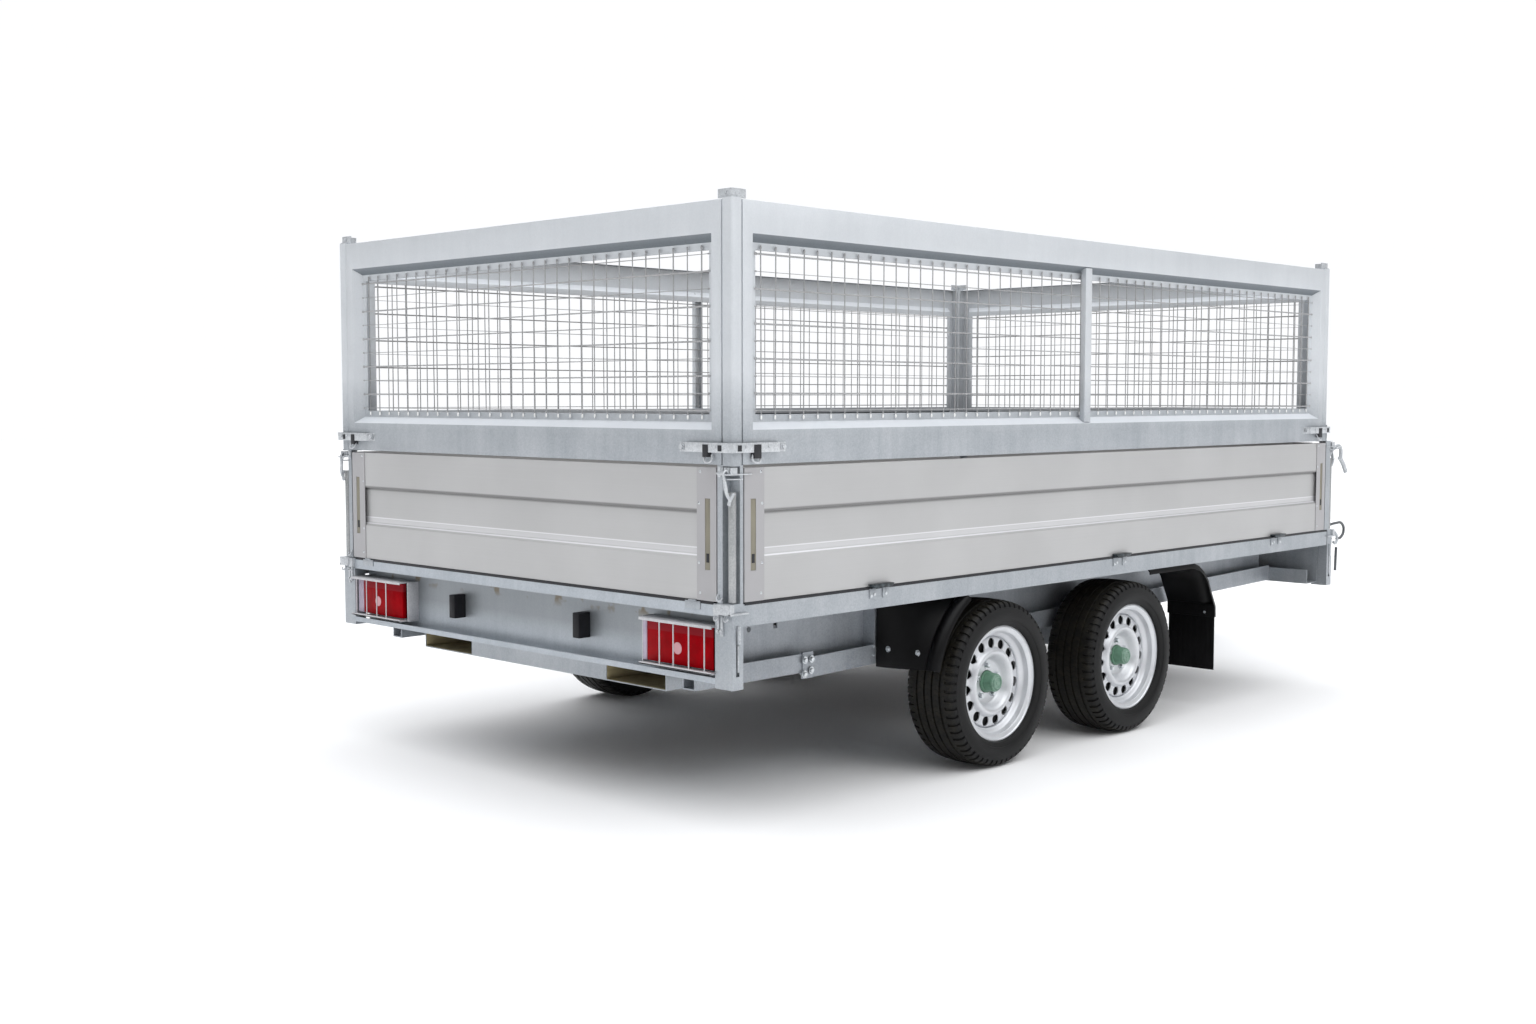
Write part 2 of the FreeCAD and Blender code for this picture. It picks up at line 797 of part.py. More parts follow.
def cage_corner_post():
    """Square tube post at the rear right corner of the cage."""
    top = cage_top_z + cage_post_stand
    tube = box(half_width - cage_post, half_width, 0, cage_post, cage_low_z, top)
    upright = [e for e in tube.Edges if abs(e.Vertexes[0].Z - e.Vertexes[1].Z) > cage_height / 2]
    tube = tube.makeFillet(cage_post_radius, upright)
    bore = box(half_width - cage_post + cage_post_wall, half_width - cage_post_wall, cage_post_wall,
               cage_post - cage_post_wall, cage_low_z - cage_post_wall, top + cage_post_wall)
    upright = [e for e in bore.Edges if abs(e.Vertexes[0].Z - e.Vertexes[1].Z) > cage_height / 2]
    return tube.cut(bore.makeFillet(cage_post_radius - cage_post_wall, upright))


def top_bracket():
    """Two-armed bracket on top of the rear right cage post."""
    base_z = cage_top_z + cage_post_stand
    near = bracket_sheet + bracket_inset
    path = [(half_width - bracket_arm, near), (half_width - bracket_inset, near),
            (half_width - bracket_inset, bracket_arm)]
    arms = along_z(folded(path, bracket_sheet), base_z, base_z + bracket_height)
    base = box(half_width - cage_post, half_width - bracket_sheet, bracket_sheet, cage_post, base_z,
               base_z + bracket_sheet)
    return fuse(arms, base)


def corner_strap():
    """Flat strap bent round the rear right cage corner, standing off between its two bolted feet."""
    near = -strap_stand
    far = half_width + strap_stand
    path = [(half_width - strap_reach, -fit_gap), (half_width - strap_reach + strap_foot, -fit_gap),
            (half_width - strap_reach + strap_foot + strap_stand, near), (far, near),
            (far, strap_reach - strap_foot - strap_stand), (half_width + fit_gap, strap_reach - strap_foot),
            (half_width + fit_gap, strap_reach)]
    return along_z(folded(path[::-1], strap_sheet), strap_low_z, strap_low_z + strap_height)


def tyre(y):
    """Right side tyre as a hollow ring: tread, sidewalls with their bulge, and beads that sit on the rim."""
    x_mid = rim_face_x - rim_width / 2
    half = tyre_section / 2
    tread = tyre_tread / 2
    bead = rim_width / 2 - fit_gap
    bead_radius = rim_diameter / 2 + fit_gap
    crown = wheel_radius - tyre_crown
    hollow = tread - tyre_wall
    outline = [(-bead, bead_radius), (-half, tyre_bulge_radius), (-tread, wheel_radius), (tread, wheel_radius),
               (half, tyre_bulge_radius), (bead, bead_radius), (hollow, crown), (-hollow, crown)]
    face = flat_face([Vector(x_mid + x, y, wheel_radius + r) for x, r in outline])
    return face.revolve(Vector(x_mid, y, wheel_radius), Vector(1, 0, 0), 360)


def rim(y):
    """Pressed steel wheel on the right side: barrel with its well, and a disc that bulges round its bowl."""
    x_out = rim_face_x
    x_in = x_out - rim_width
    seat = rim_diameter / 2
    top = seat + rim_flange
    well = seat - rim_well
    lean = (tyre_section - rim_width) / 2 * rim_flange / (tyre_bulge_radius - seat) + fit_gap
    outer_well = x_out - rim_outer_seat - rim_well_slope
    path = [(x_in - lean, top), (x_in, seat), (x_in + rim_inner_seat, seat),
            (x_in + rim_inner_seat + rim_well_slope, well), (outer_well, well), (x_out - rim_outer_seat, seat),
            (x_out, seat), (x_out + lean, top)]
    barrel = flat_face([Vector(x, y, wheel_radius + r) for x, r in folded(path[::-1], rim_sheet)])
    barrel = barrel.revolve(Vector(0, y, wheel_radius), Vector(1, 0, 0), 360)
    plate_x = x_out - disc_inset
    crest_x = plate_x + disc_crest_rise
    band_x = plate_x + disc_band_rise
    disc_path = [(plate_x, hub_radius), (plate_x, disc_plate_radius),
                 (crest_x - rim_sheet, disc_crest_radius - disc_crest_width),
                 (crest_x, disc_crest_radius - disc_crest_width / 4),
                 (crest_x - rim_sheet / 2, disc_crest_radius + disc_crest_width / 2),
                 (band_x, hand_hole_circle - hand_hole_radius),
                 (band_x - rim_sheet, hand_hole_circle + hand_hole_radius),
                 (plate_x + disc_edge_rise, well - rim_sheet / 2)]
    disc = flat_face([Vector(x, y, wheel_radius + r) for x, r in folded(disc_path, rim_sheet)])
    disc = disc.revolve(Vector(0, y, wheel_radius), Vector(1, 0, 0), 360)
    holes = []
    for i in range(hand_hole_count):
        turn = 2 * math.pi * i / hand_hole_count
        hole_y = y + hand_hole_circle * math.sin(turn)
        hole_z = wheel_radius + hand_hole_circle * math.cos(turn)
        holes.append(rod((plate_x - rim_sheet, hole_y, hole_z), (crest_x + rim_sheet, hole_y, hole_z),
                         hand_hole_radius))
    return fuse(barrel, disc).cut(Part.makeCompound(holes))


def hub(y):
    """Brake drum and hub on the right side: flange against the disc, nose with grease cap, wheel bolts."""
    face_x = hub_face_x
    tip_x = face_x + hub_nose_length
    bore = hub_bore_radius + pin_fit
    collar = hub_radius - 2 * fit_gap
    path = [(face_x - drum_width, bore), (tip_x - hub_cap, bore), (tip_x - hub_cap, 0), (tip_x, 0),
            (tip_x, hub_nose_radius - hub_cap), (tip_x - hub_cap, hub_nose_radius),
            (face_x + hub_collar + hub_cone, hub_nose_radius), (face_x + hub_collar, collar), (face_x, collar),
            (face_x, drum_radius - drum_face), (face_x - drum_bevel_depth, drum_radius - drum_bevel),
            (face_x - drum_bevel_depth - drum_bevel, drum_radius), (face_x - drum_width, drum_radius)]
    body = flat_face([Vector(x, y, wheel_radius + r) for x, r in path])
    body = body.revolve(Vector(0, y, wheel_radius), Vector(1, 0, 0), 360)
    bolts = []
    bolt_x = face_x + rim_sheet + 2 * fit_gap
    for i in range(wheel_bolt_count):
        turn = 2 * math.pi * i / wheel_bolt_count
        bolt_y = y + wheel_bolt_circle * math.sin(turn)
        bolt_z = wheel_radius + wheel_bolt_circle * math.cos(turn)
        bolts.append(rod((bolt_x, bolt_y, bolt_z), (bolt_x + wheel_bolt_length, bolt_y, bolt_z),
                         wheel_bolt_radius))
    return body, bolts


def axle(y):
    """Rubber-sprung axle: square beam under the chassis, trailing arms, brake backplates and stub spindles."""
    arm_y = y + swing_arm_length
    tube_top = axle_tube_top
    tube_half = axle_tube / 2
    tube_mid = tube_top - tube_half
    reach = beam_outer_x - beam_depth / 2
    tube = box(-reach, reach, arm_y - tube_half, arm_y + tube_half, tube_top - axle_tube, tube_top)
    plate_x = hub_face_x - drum_width - backplate_room
    eye = swing_arm_height / 2
    front_y = arm_y + tube_half
    arm = along_x([(y - eye, wheel_radius - eye), (y - eye, wheel_radius + eye), (arm_y, tube_mid + tube_half),
                   (front_y, tube_mid + tube_half / 2), (front_y, tube_mid - tube_half / 2),
                   (arm_y, tube_mid - tube_half)], reach, reach + swing_arm_width)
    plate = rod((plate_x - backplate_sheet, y, wheel_radius), (plate_x, y, wheel_radius), backplate_radius)
    stub = rod((reach, y, wheel_radius), (plate_x, y, wheel_radius), stub_radius)
    spindle = rod((reach, y, wheel_radius), (hub_face_x + hub_nose_length - spindle_room, y, wheel_radius),
                  hub_bore_radius)
    back_y = arm_y - tube_half
    lap_z = tube_top - axle_hanger_lap
    hanger = along_x([(back_y, lap_z), (front_y, lap_z), (front_y, beam_lower_edge(front_y)),
                      (back_y, beam_lower_edge(back_y))], beam_web_x, reach)
    end = [arm, plate, stub, spindle, hanger]
    return fuse(tube, *end, *[other_side(piece) for piece in end])


def rear_guard():
    """Mudguard behind the right rear wheel: a curved strip that ends under the side rail."""
    y = rear_axle_y
    top_z = rail_low_z - fit_gap - guard_sheet
    radius = (top_z - wheel_radius) / math.sin(math.radians(guard_meet_angle))
    path = [(y - radius - guard_tail_run, guard_low_z)]
    path += arc(y, wheel_radius, radius, guard_tail_angle, guard_meet_angle, 7)
    return along_x(folded(path, guard_sheet), guard_inner_x, guard_outer_x)


def front_guard():
    """Mudguard ahead of the right front wheel: level under the bed, then curving down to the flap."""
    y = axle_ys[1]
    top_z = rail_low_z - fit_gap
    end_y = y + front_guard_reach
    centre_y = end_y - guard_bend_run - guard_bend
    path = [(y + guard_top_start, top_z), (centre_y, top_z)]
    path += arc(centre_y, top_z - guard_bend, guard_bend, guard_bend_start, guard_bend_end, 4)
    path += [(end_y, guard_low_z + flap_overlap), (end_y, guard_low_z + flap_overlap - guard_end_drop)]
    return along_x(folded(path[::-1], guard_sheet), guard_inner_x, guard_outer_x)


def mud_flap():
    """Flap below the right front mudguard."""
    front_y = axle_ys[1] + front_guard_reach - guard_sheet - fit_gap
    high = guard_low_z + flap_overlap - flap_margin
    return box(guard_inner_x + flap_margin, guard_outer_x - flap_margin, front_y - flap_sheet, front_y,
               high - flap_height, high)


def lamp():
    """Right tail lamp as (housing, lens)."""
    back = crossbeam_depth - rail_sheet - lamp_wall_gap
    low = lamp_low_z
    high = lamp_low_z + lamp_height
    seat_y = lamp_face_y + lens_depth
    bevel_y = lamp_face_y + lens_bevel
    housing = box(lamp_inner_x, lamp_outer_x, seat_y, back, low, high)
    left = lamp_inner_x + lens_margin
    right = lamp_outer_x - lens_margin
    glass = along_z([(left, seat_y), (left, bevel_y), (left + lens_bevel, lamp_face_y),
                     (right - lens_bevel, lamp_face_y), (right, bevel_y), (right, seat_y)],
                    low + lens_margin, high - lens_margin)
    return housing, glass


def lamp_guard():
    """Guard round the right tail lamp: two strips with a chamfered inner corner, joined by upright bars."""
    back = crossbeam_depth - rail_sheet
    front = lamp_face_y - lamp_cage_stand
    strip_y = front + lamp_cage_strip
    inner = lamp_inner_x - lamp_cage_side
    outer = lamp_outer_x + lamp_cage_end
    sheet = lamp_cage_sheet
    bevel = lamp_cage_bevel
    low = lamp_low_z - lamp_cage_drop
    high = lamp_low_z + lamp_height + lamp_cage_drop
    outline = [(inner, back), (inner, front + bevel), (inner + bevel, front), (outer, front),
               (outer, strip_y), (inner + bevel + 2 * sheet, strip_y),
               (inner + sheet, strip_y + bevel + sheet), (inner + sheet, back)]
    strips = [along_z(outline, low, low + sheet), along_z(outline, high - sheet, high)]
    side = box(outer - sheet, outer, front + sheet, back, low, high)
    bars = []
    first = inner + lamp_cage_bar_inset
    pitch = (outer - lamp_cage_bar_room - first) / (lamp_cage_bars - 1)
    for i in range(lamp_cage_bars):
        x = first + i * pitch
        bars.append(rod((x, front + sheet, low + sheet / 2), (x, front + sheet, high - sheet / 2),
                        lamp_cage_bar / 2))
    return fuse(side, *strips, *bars)


def plate_lamp():
    """Small lamp on the rear beam that lights the number plate, with its hood cut back at the bottom."""
    back = crossbeam_depth - rail_sheet
    front = back - plate_lamp_depth
    x0 = plate_lamp_x - plate_lamp_width / 2
    low = plate_lamp_z
    high = plate_lamp_z + plate_lamp_height
    outline = [(back, low), (front + plate_lamp_hood_depth, low), (front, low + plate_lamp_hood),
               (front, high - plate_lamp_bevel), (front + plate_lamp_bevel, high), (back, high)]
    return along_x(outline, x0, x0 + plate_lamp_width)


def ramp_channels():
    """Two stowage channels for loading ramps, open at the rear, hung between the beams on two carriers."""
    high = crossbeam_low_z
    low = high - ramp_height
    end = ramp_start_y + ramp_length
    pieces = []
    for x0 in (ramp_inner_x, -ramp_inner_x - ramp_width):
        x1 = x0 + ramp_width
        path = [(x0, high), (x0, low), (x1, low), (x1, high)]
        pieces.append(along_y(folded(path, ramp_sheet), ramp_start_y, end))
    web = beam_web_x
    for y in (ramp_start_y, end - ramp_carrier):
        path = [(y, high), (y, high + ramp_carrier), (y + ramp_carrier, high + ramp_carrier),
                (y + ramp_carrier, high)]
        pieces.append(along_x(folded(path[::-1], ramp_sheet), -web, web))
    pieces.append(box(-ramp_inner_x, ramp_inner_x, ramp_start_y, ramp_start_y + ramp_sheet, low, high))
    return fuse(*pieces)


def drawbar():
    """A-shaped drawbar: two box arms that meet under the overrun unit, with a tie between them."""
    high = arm_low_z + arm_height
    front_y = bed_length + arm_front_reach
    nose_x = arm_front_x - arm_width + fit_gap
    arm = along_z([(arm_rear_x - arm_width, arm_rear_y), (arm_rear_x, arm_rear_y), (arm_front_x, front_y),
                   (nose_x, front_y), (nose_x, front_y - arm_nose)], arm_low_z, high)
    run_x = arm_rear_x - arm_front_x
    run_y = front_y - arm_rear_y
    tie_y = bed_length + tie_reach
    tie_x = arm_rear_x - run_x * (tie_y - arm_rear_y) / run_y - tie_inset
    tie = box(-tie_x, tie_x, tie_y - tie_width / 2, tie_y + tie_width / 2, arm_low_z + tie_inset,
              high - tie_inset)
    foot = box(arm_rear_x - arm_width, beam_web_x, arm_rear_y, arm_rear_y + arm_foot_length,
               high - arm_foot_sheet - fit_gap, high - fit_gap)
    return fuse(arm, other_side(arm), tie, foot, other_side(foot))


def overrun_unit():
    """Overrun brake housing on the front of the drawbar, with the sliding tow tube and its bellows."""
    start = overrun_start_y
    end = start + overrun_length
    high = arm_low_z + arm_height
    half = overrun_width / 2
    crown = half - overrun_bevel
    shoulder_z = coupling_z - overrun_shoulder
    saddle = box(-half, half, start, end - overrun_bevel, high, high + saddle_sheet)
    body = along_y([(-half, high), (-half, shoulder_z), (-crown, coupling_z + overrun_top),
                    (crown, coupling_z + overrun_top), (half, shoulder_z), (half, high)], start, end)
    tube_end = bed_length + drawbar_length - head_length + head_lap
    tube = rod((0, end - overrun_bevel, coupling_z), (0, tube_end, coupling_z), tow_tube_radius)
    pitch = (tube_end - bellows_end_room - end) / bellows_count
    valley = tow_tube_radius + bellows_valley
    crest = tow_tube_radius + bellows_crest
    profile = [(end, 0)]
    for i in range(bellows_count):
        profile += [(end + i * pitch, valley), (end + (i + 0.5) * pitch, crest)]
    profile += [(end + bellows_count * pitch, valley), (end + bellows_count * pitch, 0)]
    face = flat_face([Vector(0, y, coupling_z + r) for y, r in profile])
    bellows = face.revolve(Vector(0, 0, coupling_z), Vector(0, 1, 0), 360)
    return fuse(body, saddle, tube, bellows)


def coupling_head():
    """Coupling head with its ball socket open downwards and its lift handle on top."""
    tip = bed_length + drawbar_length
    start = tip - head_length
    ball_y = tip - ball_setback
    clear = tow_tube_radius + fit_gap
    half = head_width / 2
    waist_y = start + bellows_end_room
    bevel = head_nose_bevel
    nose = head_nose / 2
    low = coupling_z - head_depth
    sleeve = rod((0, start, coupling_z), (0, start + head_sleeve, coupling_z), clear + head_wall)
    neck = along_z([(-head_waist, waist_y), (-half, ball_y), (bevel - half, tip - bevel), (-nose, tip),
                    (nose, tip), (half - bevel, tip - bevel), (half, ball_y), (head_waist, waist_y)],
                   low, coupling_z + head_top)
    dome = rod((0, ball_y, coupling_z), (0, ball_y, coupling_z + dome_height), dome_radius)
    handle_z = coupling_z + dome_height - fit_gap
    sheet = lift_handle_sheet
    rear_y = ball_y - lift_handle_length
    rear_z = handle_z + lift_handle_rise
    front_y = ball_y + dome_radius / 2
    handle = along_x([(rear_y, rear_z), (ball_y, handle_z), (front_y, handle_z), (front_y, handle_z + sheet),
                      (ball_y, handle_z + sheet), (rear_y, rear_z + sheet)],
                     -lift_handle_width / 2, lift_handle_width / 2)
    whole = fuse(sleeve, neck, dome, handle)
    bore = rod((0, start - head_wall, coupling_z), (0, start + head_sleeve - head_wall, coupling_z), clear)
    radius = ball_radius + ball_play
    socket = rod((0, ball_y, low - head_wall), (0, ball_y, low + socket_depth), radius)
    roof = Part.makeSphere(radius, Vector(0, ball_y, low + socket_depth))
    return whole.cut(bore).cut(socket).cut(roof)


def brake_lever():
    """Hand brake lever beside the overrun unit, with its pivot plate."""
    y = bed_length + arm_front_reach - brake_setback
    near = overrun_width / 2
    outside = near + brake_plate_sheet
    half = brake_arm_width / 2
    plate = box(near + fit_gap, outside, y - brake_plate_width / 2, y + brake_plate_width / 2,
                coupling_z - brake_plate_height / 2, coupling_z + brake_plate_height / 2)
    top_y = y - brake_arm_lean
    top_z = coupling_z + brake_arm_height
    grip_z = top_z - half
    lever = along_x([(y - half, coupling_z), (y + half, coupling_z), (top_y, top_z), (top_y - half, grip_z)],
                    outside, outside + brake_arm_sheet)
    grip_x = outside + brake_arm_sheet / 2
    grip = rod((grip_x, top_y, grip_z), (grip_x, top_y - brake_grip_lean, grip_z + brake_grip_length),
               brake_grip_radius)
    return fuse(plate, lever, grip)


def jockey_clamp():
    """Clamp on the left of the overrun unit that holds the jockey wheel's outer tube."""
    y = jockey_y
    low = jockey_clamp_low
    high = low + jockey_clamp_height
    outer = jockey_tube_radius + jockey_clamp_wall
    mid_z = (low + high) / 2
    collar = rod((jockey_x, y, low), (jockey_x, y, high), outer)
    base = box(jockey_x, -overrun_width / 2 - fit_gap, y - jockey_tube_radius, y + jockey_tube_radius,
               low + jockey_clamp_wall / 2, high - jockey_clamp_wall / 2)
    lever = rod((jockey_x - jockey_tube_radius - jockey_clamp_wall / 2, y, mid_z),
                (jockey_x - outer - jockey_clamp_lever, y, mid_z), jockey_clamp_lever_radius)
    bore = rod((jockey_x, y, low - jockey_clamp_wall), (jockey_x, y, high + jockey_clamp_wall),
               jockey_tube_radius + fit_gap)
    return fuse(collar, base, lever).cut(bore)


def jockey_tube():
    """Outer tube with the crank on top, held in the clamp."""
    y = jockey_y
    top = jockey_tube_top
    tube = rod((jockey_x, y, jockey_tube_low), (jockey_x, y, top), jockey_tube_radius)
    bore = rod((jockey_x, y, jockey_tube_low - jockey_tube_cap), (jockey_x, y, top - jockey_tube_cap),
               jockey_leg_radius + pin_fit)
    crank_z = top + jockey_stem_height - jockey_crank_sheet
    stem = rod((jockey_x, y, top - jockey_tube_cap / 2), (jockey_x, y, crank_z), jockey_stem_radius)
    crank = box(jockey_x - jockey_crank_length, jockey_x + jockey_stem_radius, y - jockey_crank_width / 2,
                y + jockey_crank_width / 2, crank_z, crank_z + jockey_crank_sheet)
    knob_x = jockey_x - jockey_crank_length + jockey_knob_radius
    knob = rod((knob_x, y, crank_z + jockey_crank_sheet / 2),
               (knob_x, y, crank_z + jockey_crank_sheet / 2 + jockey_knob_length), jockey_knob_radius)
    return fuse(tube.cut(bore), stem, crank, knob)


def jockey_leg():
    """Inner tube that slides in the outer tube."""
    y = jockey_y
    low = jockey_fork_top
    high = jockey_tube_top - jockey_leg_room
    tube = rod((jockey_x, y, low), (jockey_x, y, high), jockey_leg_radius)
    bore = rod((jockey_x, y, low + jockey_leg_floor), (jockey_x, y, high + jockey_leg_floor),
               jockey_leg_radius - jockey_leg_wall)
    return tube.cut(bore)


def jockey_fork():
    """Fork that swivels below the leg and carries the wheel's axle behind the swivel line."""
    y = jockey_y
    high = jockey_fork_top - fit_gap
    inner = jockey_wheel_width / 2 + jockey_fork_room
    outer = inner + jockey_fork_sheet
    wheel_y = y - jockey_trail
    half = jockey_fork_half
    foot = jockey_fork_foot
    radius = jockey_wheel_radius
    crown = box(jockey_x - outer, jockey_x + outer, wheel_y - half, y + half, high - jockey_crown, high)
    cheek_z = high - jockey_crown / 2
    outline = [(wheel_y - foot, radius - foot), (wheel_y + foot, radius - foot), (y + half, cheek_z),
               (wheel_y - half, cheek_z)]
    cheeks = [along_x(outline, jockey_x + inner, jockey_x + outer),
              along_x(outline, jockey_x - outer, jockey_x - inner)]
    pin = rod((jockey_x - outer, wheel_y, radius), (jockey_x + outer, wheel_y, radius), jockey_pin_radius)
    return fuse(crown, pin, *cheeks)


def jockey_wheel():
    """Solid-tyred jockey wheel."""
    y = jockey_y - jockey_trail
    r = jockey_wheel_radius
    half = jockey_wheel_width / 2
    web = jockey_web_width / 2
    boss = half + jockey_boss_stand
    bevel = jockey_tread_bevel
    deep = r - jockey_tyre_depth
    bore = jockey_pin_radius + pin_fit
    edge = r - jockey_boss_stand
    right = [(0, r), (half - bevel, edge), (half, edge - bevel), (half, deep + bevel), (web, deep),
             (web, jockey_boss_radius + jockey_boss_stand), (boss, jockey_boss_radius), (boss, bore)]
    outline = right + [(-x, s) for x, s in right[:0:-1]]
    face = flat_face([Vector(jockey_x + x, y, r + s) for x, s in outline])
    return face.revolve(Vector(jockey_x, y, r), Vector(1, 0, 0), 360)


def build_bed():
    save("chassis_beams", *both_sides(main_beam()))
    save("cross_members", *cross_members())
    save("side_rails", *both_sides(side_rail()))
    save("rear_crossbeam", rear_crossbeam())
    save("front_crossbeam", front_crossbeam())
    save("deck_board", deck())
    save("corner_pockets", *four_corners(pocket(), bed_length))
    save("corner_stakes", *both_sides(stake(stake_side)), *both_sides(front_stake()))
    save("stake_latches", *four_corners(latch(), bed_length))
    save("ramp_channels", ramp_channels())


def build_dropsides():
    rear_cross = half_width - pocket_width + swing_gap
    front_cross = half_width - pocket_width - swing_gap
    first_hinge = side_start + rear_hinge_inset
    last_hinge = side_end - front_hinge_inset
    side_places = (first_hinge, (first_hinge + last_hinge) / 2 + middle_hinge_shift, last_hinge)
    rear_places = (end_hinge_inset - rear_cross, rear_cross - end_hinge_inset)
    front_places = (end_hinge_inset - front_cross, front_cross - end_hinge_inset)
    sides = {"right": ("x", side_start, side_end, side_places, lambda piece: piece),
             "left": ("x", side_start, side_end, side_places, other_side),
             "rear": ("y", -rear_cross, rear_cross, rear_places, lambda piece: piece),
             "front": ("y", -front_cross, front_cross, front_places,
                       lambda piece: other_end(piece, deck_length))}
    fixed = []
    for name, (side, start, end, places, turn) in sides.items():
        panel, caps = dropside(start, end, side)
        pairs = [hinge(place, side) for place in places]
        fixed += [turn(bracket) for bracket, leaf in pairs]
        save("dropside_" + name, turn(panel))
        save("end_caps_" + name, *[turn(piece) for piece in caps])
        save("hinge_leaves_" + name, *[turn(leaf) for bracket, leaf in pairs])
    save("hinge_brackets", *fixed)


def build_cage():
    save("cage_posts", *four_corners(cage_corner_post(), cage_length))
    save("cage_brackets", *four_corners(top_bracket(), cage_length),
         *four_corners(corner_strap(), cage_length))
    reach = half_width - cage_post - frame_gap
    start = cage_post + frame_gap
    end = cage_length - start
    rear = mesh_frame(-reach, reach, [])
    right = to_right_side(mesh_frame(start, end, [upright_y]))
    save("cage_panel_rear", rear)
    save("cage_panel_front", other_end(rear, cage_length))
    save("cage_panel_right", right)
    save("cage_panel_left", other_side(right))
    wires = []
    for wire_piece in level_wires(-reach, reach):
        wires += [wire_piece, other_end(wire_piece, cage_length)]
    for wire_piece in level_wires(start, end):
        wires += both_sides(to_right_side(wire_piece))
    save("mesh_level_wires", *wires)


def build_running_gear():
    for end, y in zip(("rear", "front"), axle_ys):
        save("axle_" + end, axle(y))
        ring = tyre(y)
        wheel = rim(y)
        drum, bolts = hub(y)
        for side, turn in (("right", lambda s: s), ("left", other_side)):
            name = end + "_" + side
            save("tyre_" + name, turn(ring))
            save("rim_" + name, turn(wheel))
            save("hub_" + name, turn(drum), *[turn(bolt) for bolt in bolts])
    save("mudguards", *both_sides(rear_guard()), *both_sides(front_guard()))
    save("mud_flaps", *both_sides(mud_flap()))


def build_lamps():
    housing, lens = lamp()
    save("lamp_housings", *both_sides(housing))
    save("lamp_lenses", *both_sides(lens))
    save("lamp_guards", *both_sides(lamp_guard()))
    save("plate_lamps", *both_sides(plate_lamp()))


def build_drawbar():
    save("drawbar", drawbar())
    save("overrun_unit", overrun_unit())
    save("coupling_head", coupling_head())
    save("brake_lever", brake_lever())
    save("jockey_clamp", jockey_clamp())
    save("jockey_tube", jockey_tube())
    save("jockey_leg", jockey_leg())
    save("jockey_fork", jockey_fork())
    save("jockey_wheel", jockey_wheel())


build_bed()
build_dropsides()
build_cage()
build_running_gear()
build_lamps()
build_drawbar()
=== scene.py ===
import math
import bpy
import mathutils
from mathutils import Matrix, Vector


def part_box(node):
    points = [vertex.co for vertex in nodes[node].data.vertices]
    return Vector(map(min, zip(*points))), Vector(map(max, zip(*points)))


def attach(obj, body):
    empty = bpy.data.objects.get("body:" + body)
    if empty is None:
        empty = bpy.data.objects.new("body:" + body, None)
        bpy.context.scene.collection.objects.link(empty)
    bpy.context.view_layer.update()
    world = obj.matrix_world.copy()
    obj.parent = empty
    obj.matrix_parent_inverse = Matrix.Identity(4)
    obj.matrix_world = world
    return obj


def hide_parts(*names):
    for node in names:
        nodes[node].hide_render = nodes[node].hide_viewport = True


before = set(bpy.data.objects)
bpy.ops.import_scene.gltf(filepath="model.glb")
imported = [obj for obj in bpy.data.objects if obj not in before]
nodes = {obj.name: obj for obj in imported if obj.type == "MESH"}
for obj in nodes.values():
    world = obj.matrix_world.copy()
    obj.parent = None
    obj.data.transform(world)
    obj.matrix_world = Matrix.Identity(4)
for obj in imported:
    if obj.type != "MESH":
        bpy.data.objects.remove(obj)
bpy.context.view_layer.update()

# The photographer stood behind the trailer's right rear corner, a little below the cage's top.
# The place and the lens were worked out from the trailer's own corners in the photograph.
camera_place = (3.9816, -5.3993, 1.1557)
camera_yaw = 44.35
camera_pitch = -3.99
camera_lens = 38.48
camera_data = bpy.data.cameras.new("camera")
camera_data.lens = camera_lens
camera_data.clip_end = 200
camera = bpy.data.objects.new("camera", camera_data)
camera.location = camera_place
camera.rotation_euler = (math.radians(90 + camera_pitch), 0, math.radians(camera_yaw))
bpy.context.scene.collection.objects.link(camera)
bpy.context.scene.camera = camera
bpy.context.scene.view_settings.view_transform = "Standard"

# Studio: a white, matt painted floor that runs into a white backdrop ahead of the camera. The other walls
# are dim below and the ceiling is bright, so that bare metal shows its forms. One soft lamp hangs at the right.
floor_size = 80.0
wall_low, wall_pale, backdrop_white, ceiling_bright = 0.10, 0.55, 1.03, 2.0
pale_wall_ends = (0.28, 0.36)
ceiling_starts = (0.45, 0.75)
backdrop_edge = (0.78, 0.87)
lamp_place = (6.5, -1.0, 5.0)
lamp_aim = (0.5, -0.5, 0.8)
lamp_width = 5.0
lamp_watts = 80


def linear(hex_code):
    """Linear colour, with alpha, of an sRGB hex value such as C8CDD1."""
    parts = [int(hex_code[i:i + 2], 16) / 255 for i in (0, 2, 4)]
    return tuple(c / 12.92 if c <= 0.04045 else ((c + 0.055) / 1.055) ** 2.4 for c in parts) + (1.0,)


def set_inputs(tree, node, inputs):
    """Give a node's inputs their values, or links where the value is another node's output."""
    for name, value in inputs.items():
        if isinstance(value, bpy.types.NodeSocket):
            tree.links.new(value, node.inputs[name])
        else:
            node.inputs[name].default_value = value


def add_node(tree, kind, inputs=None, **settings):
    """One shader node with its settings and its inputs."""
    node = tree.nodes.new("ShaderNode" + kind)
    for name, value in settings.items():
        setattr(node, name, value)
    set_inputs(tree, node, inputs or {})
    return node


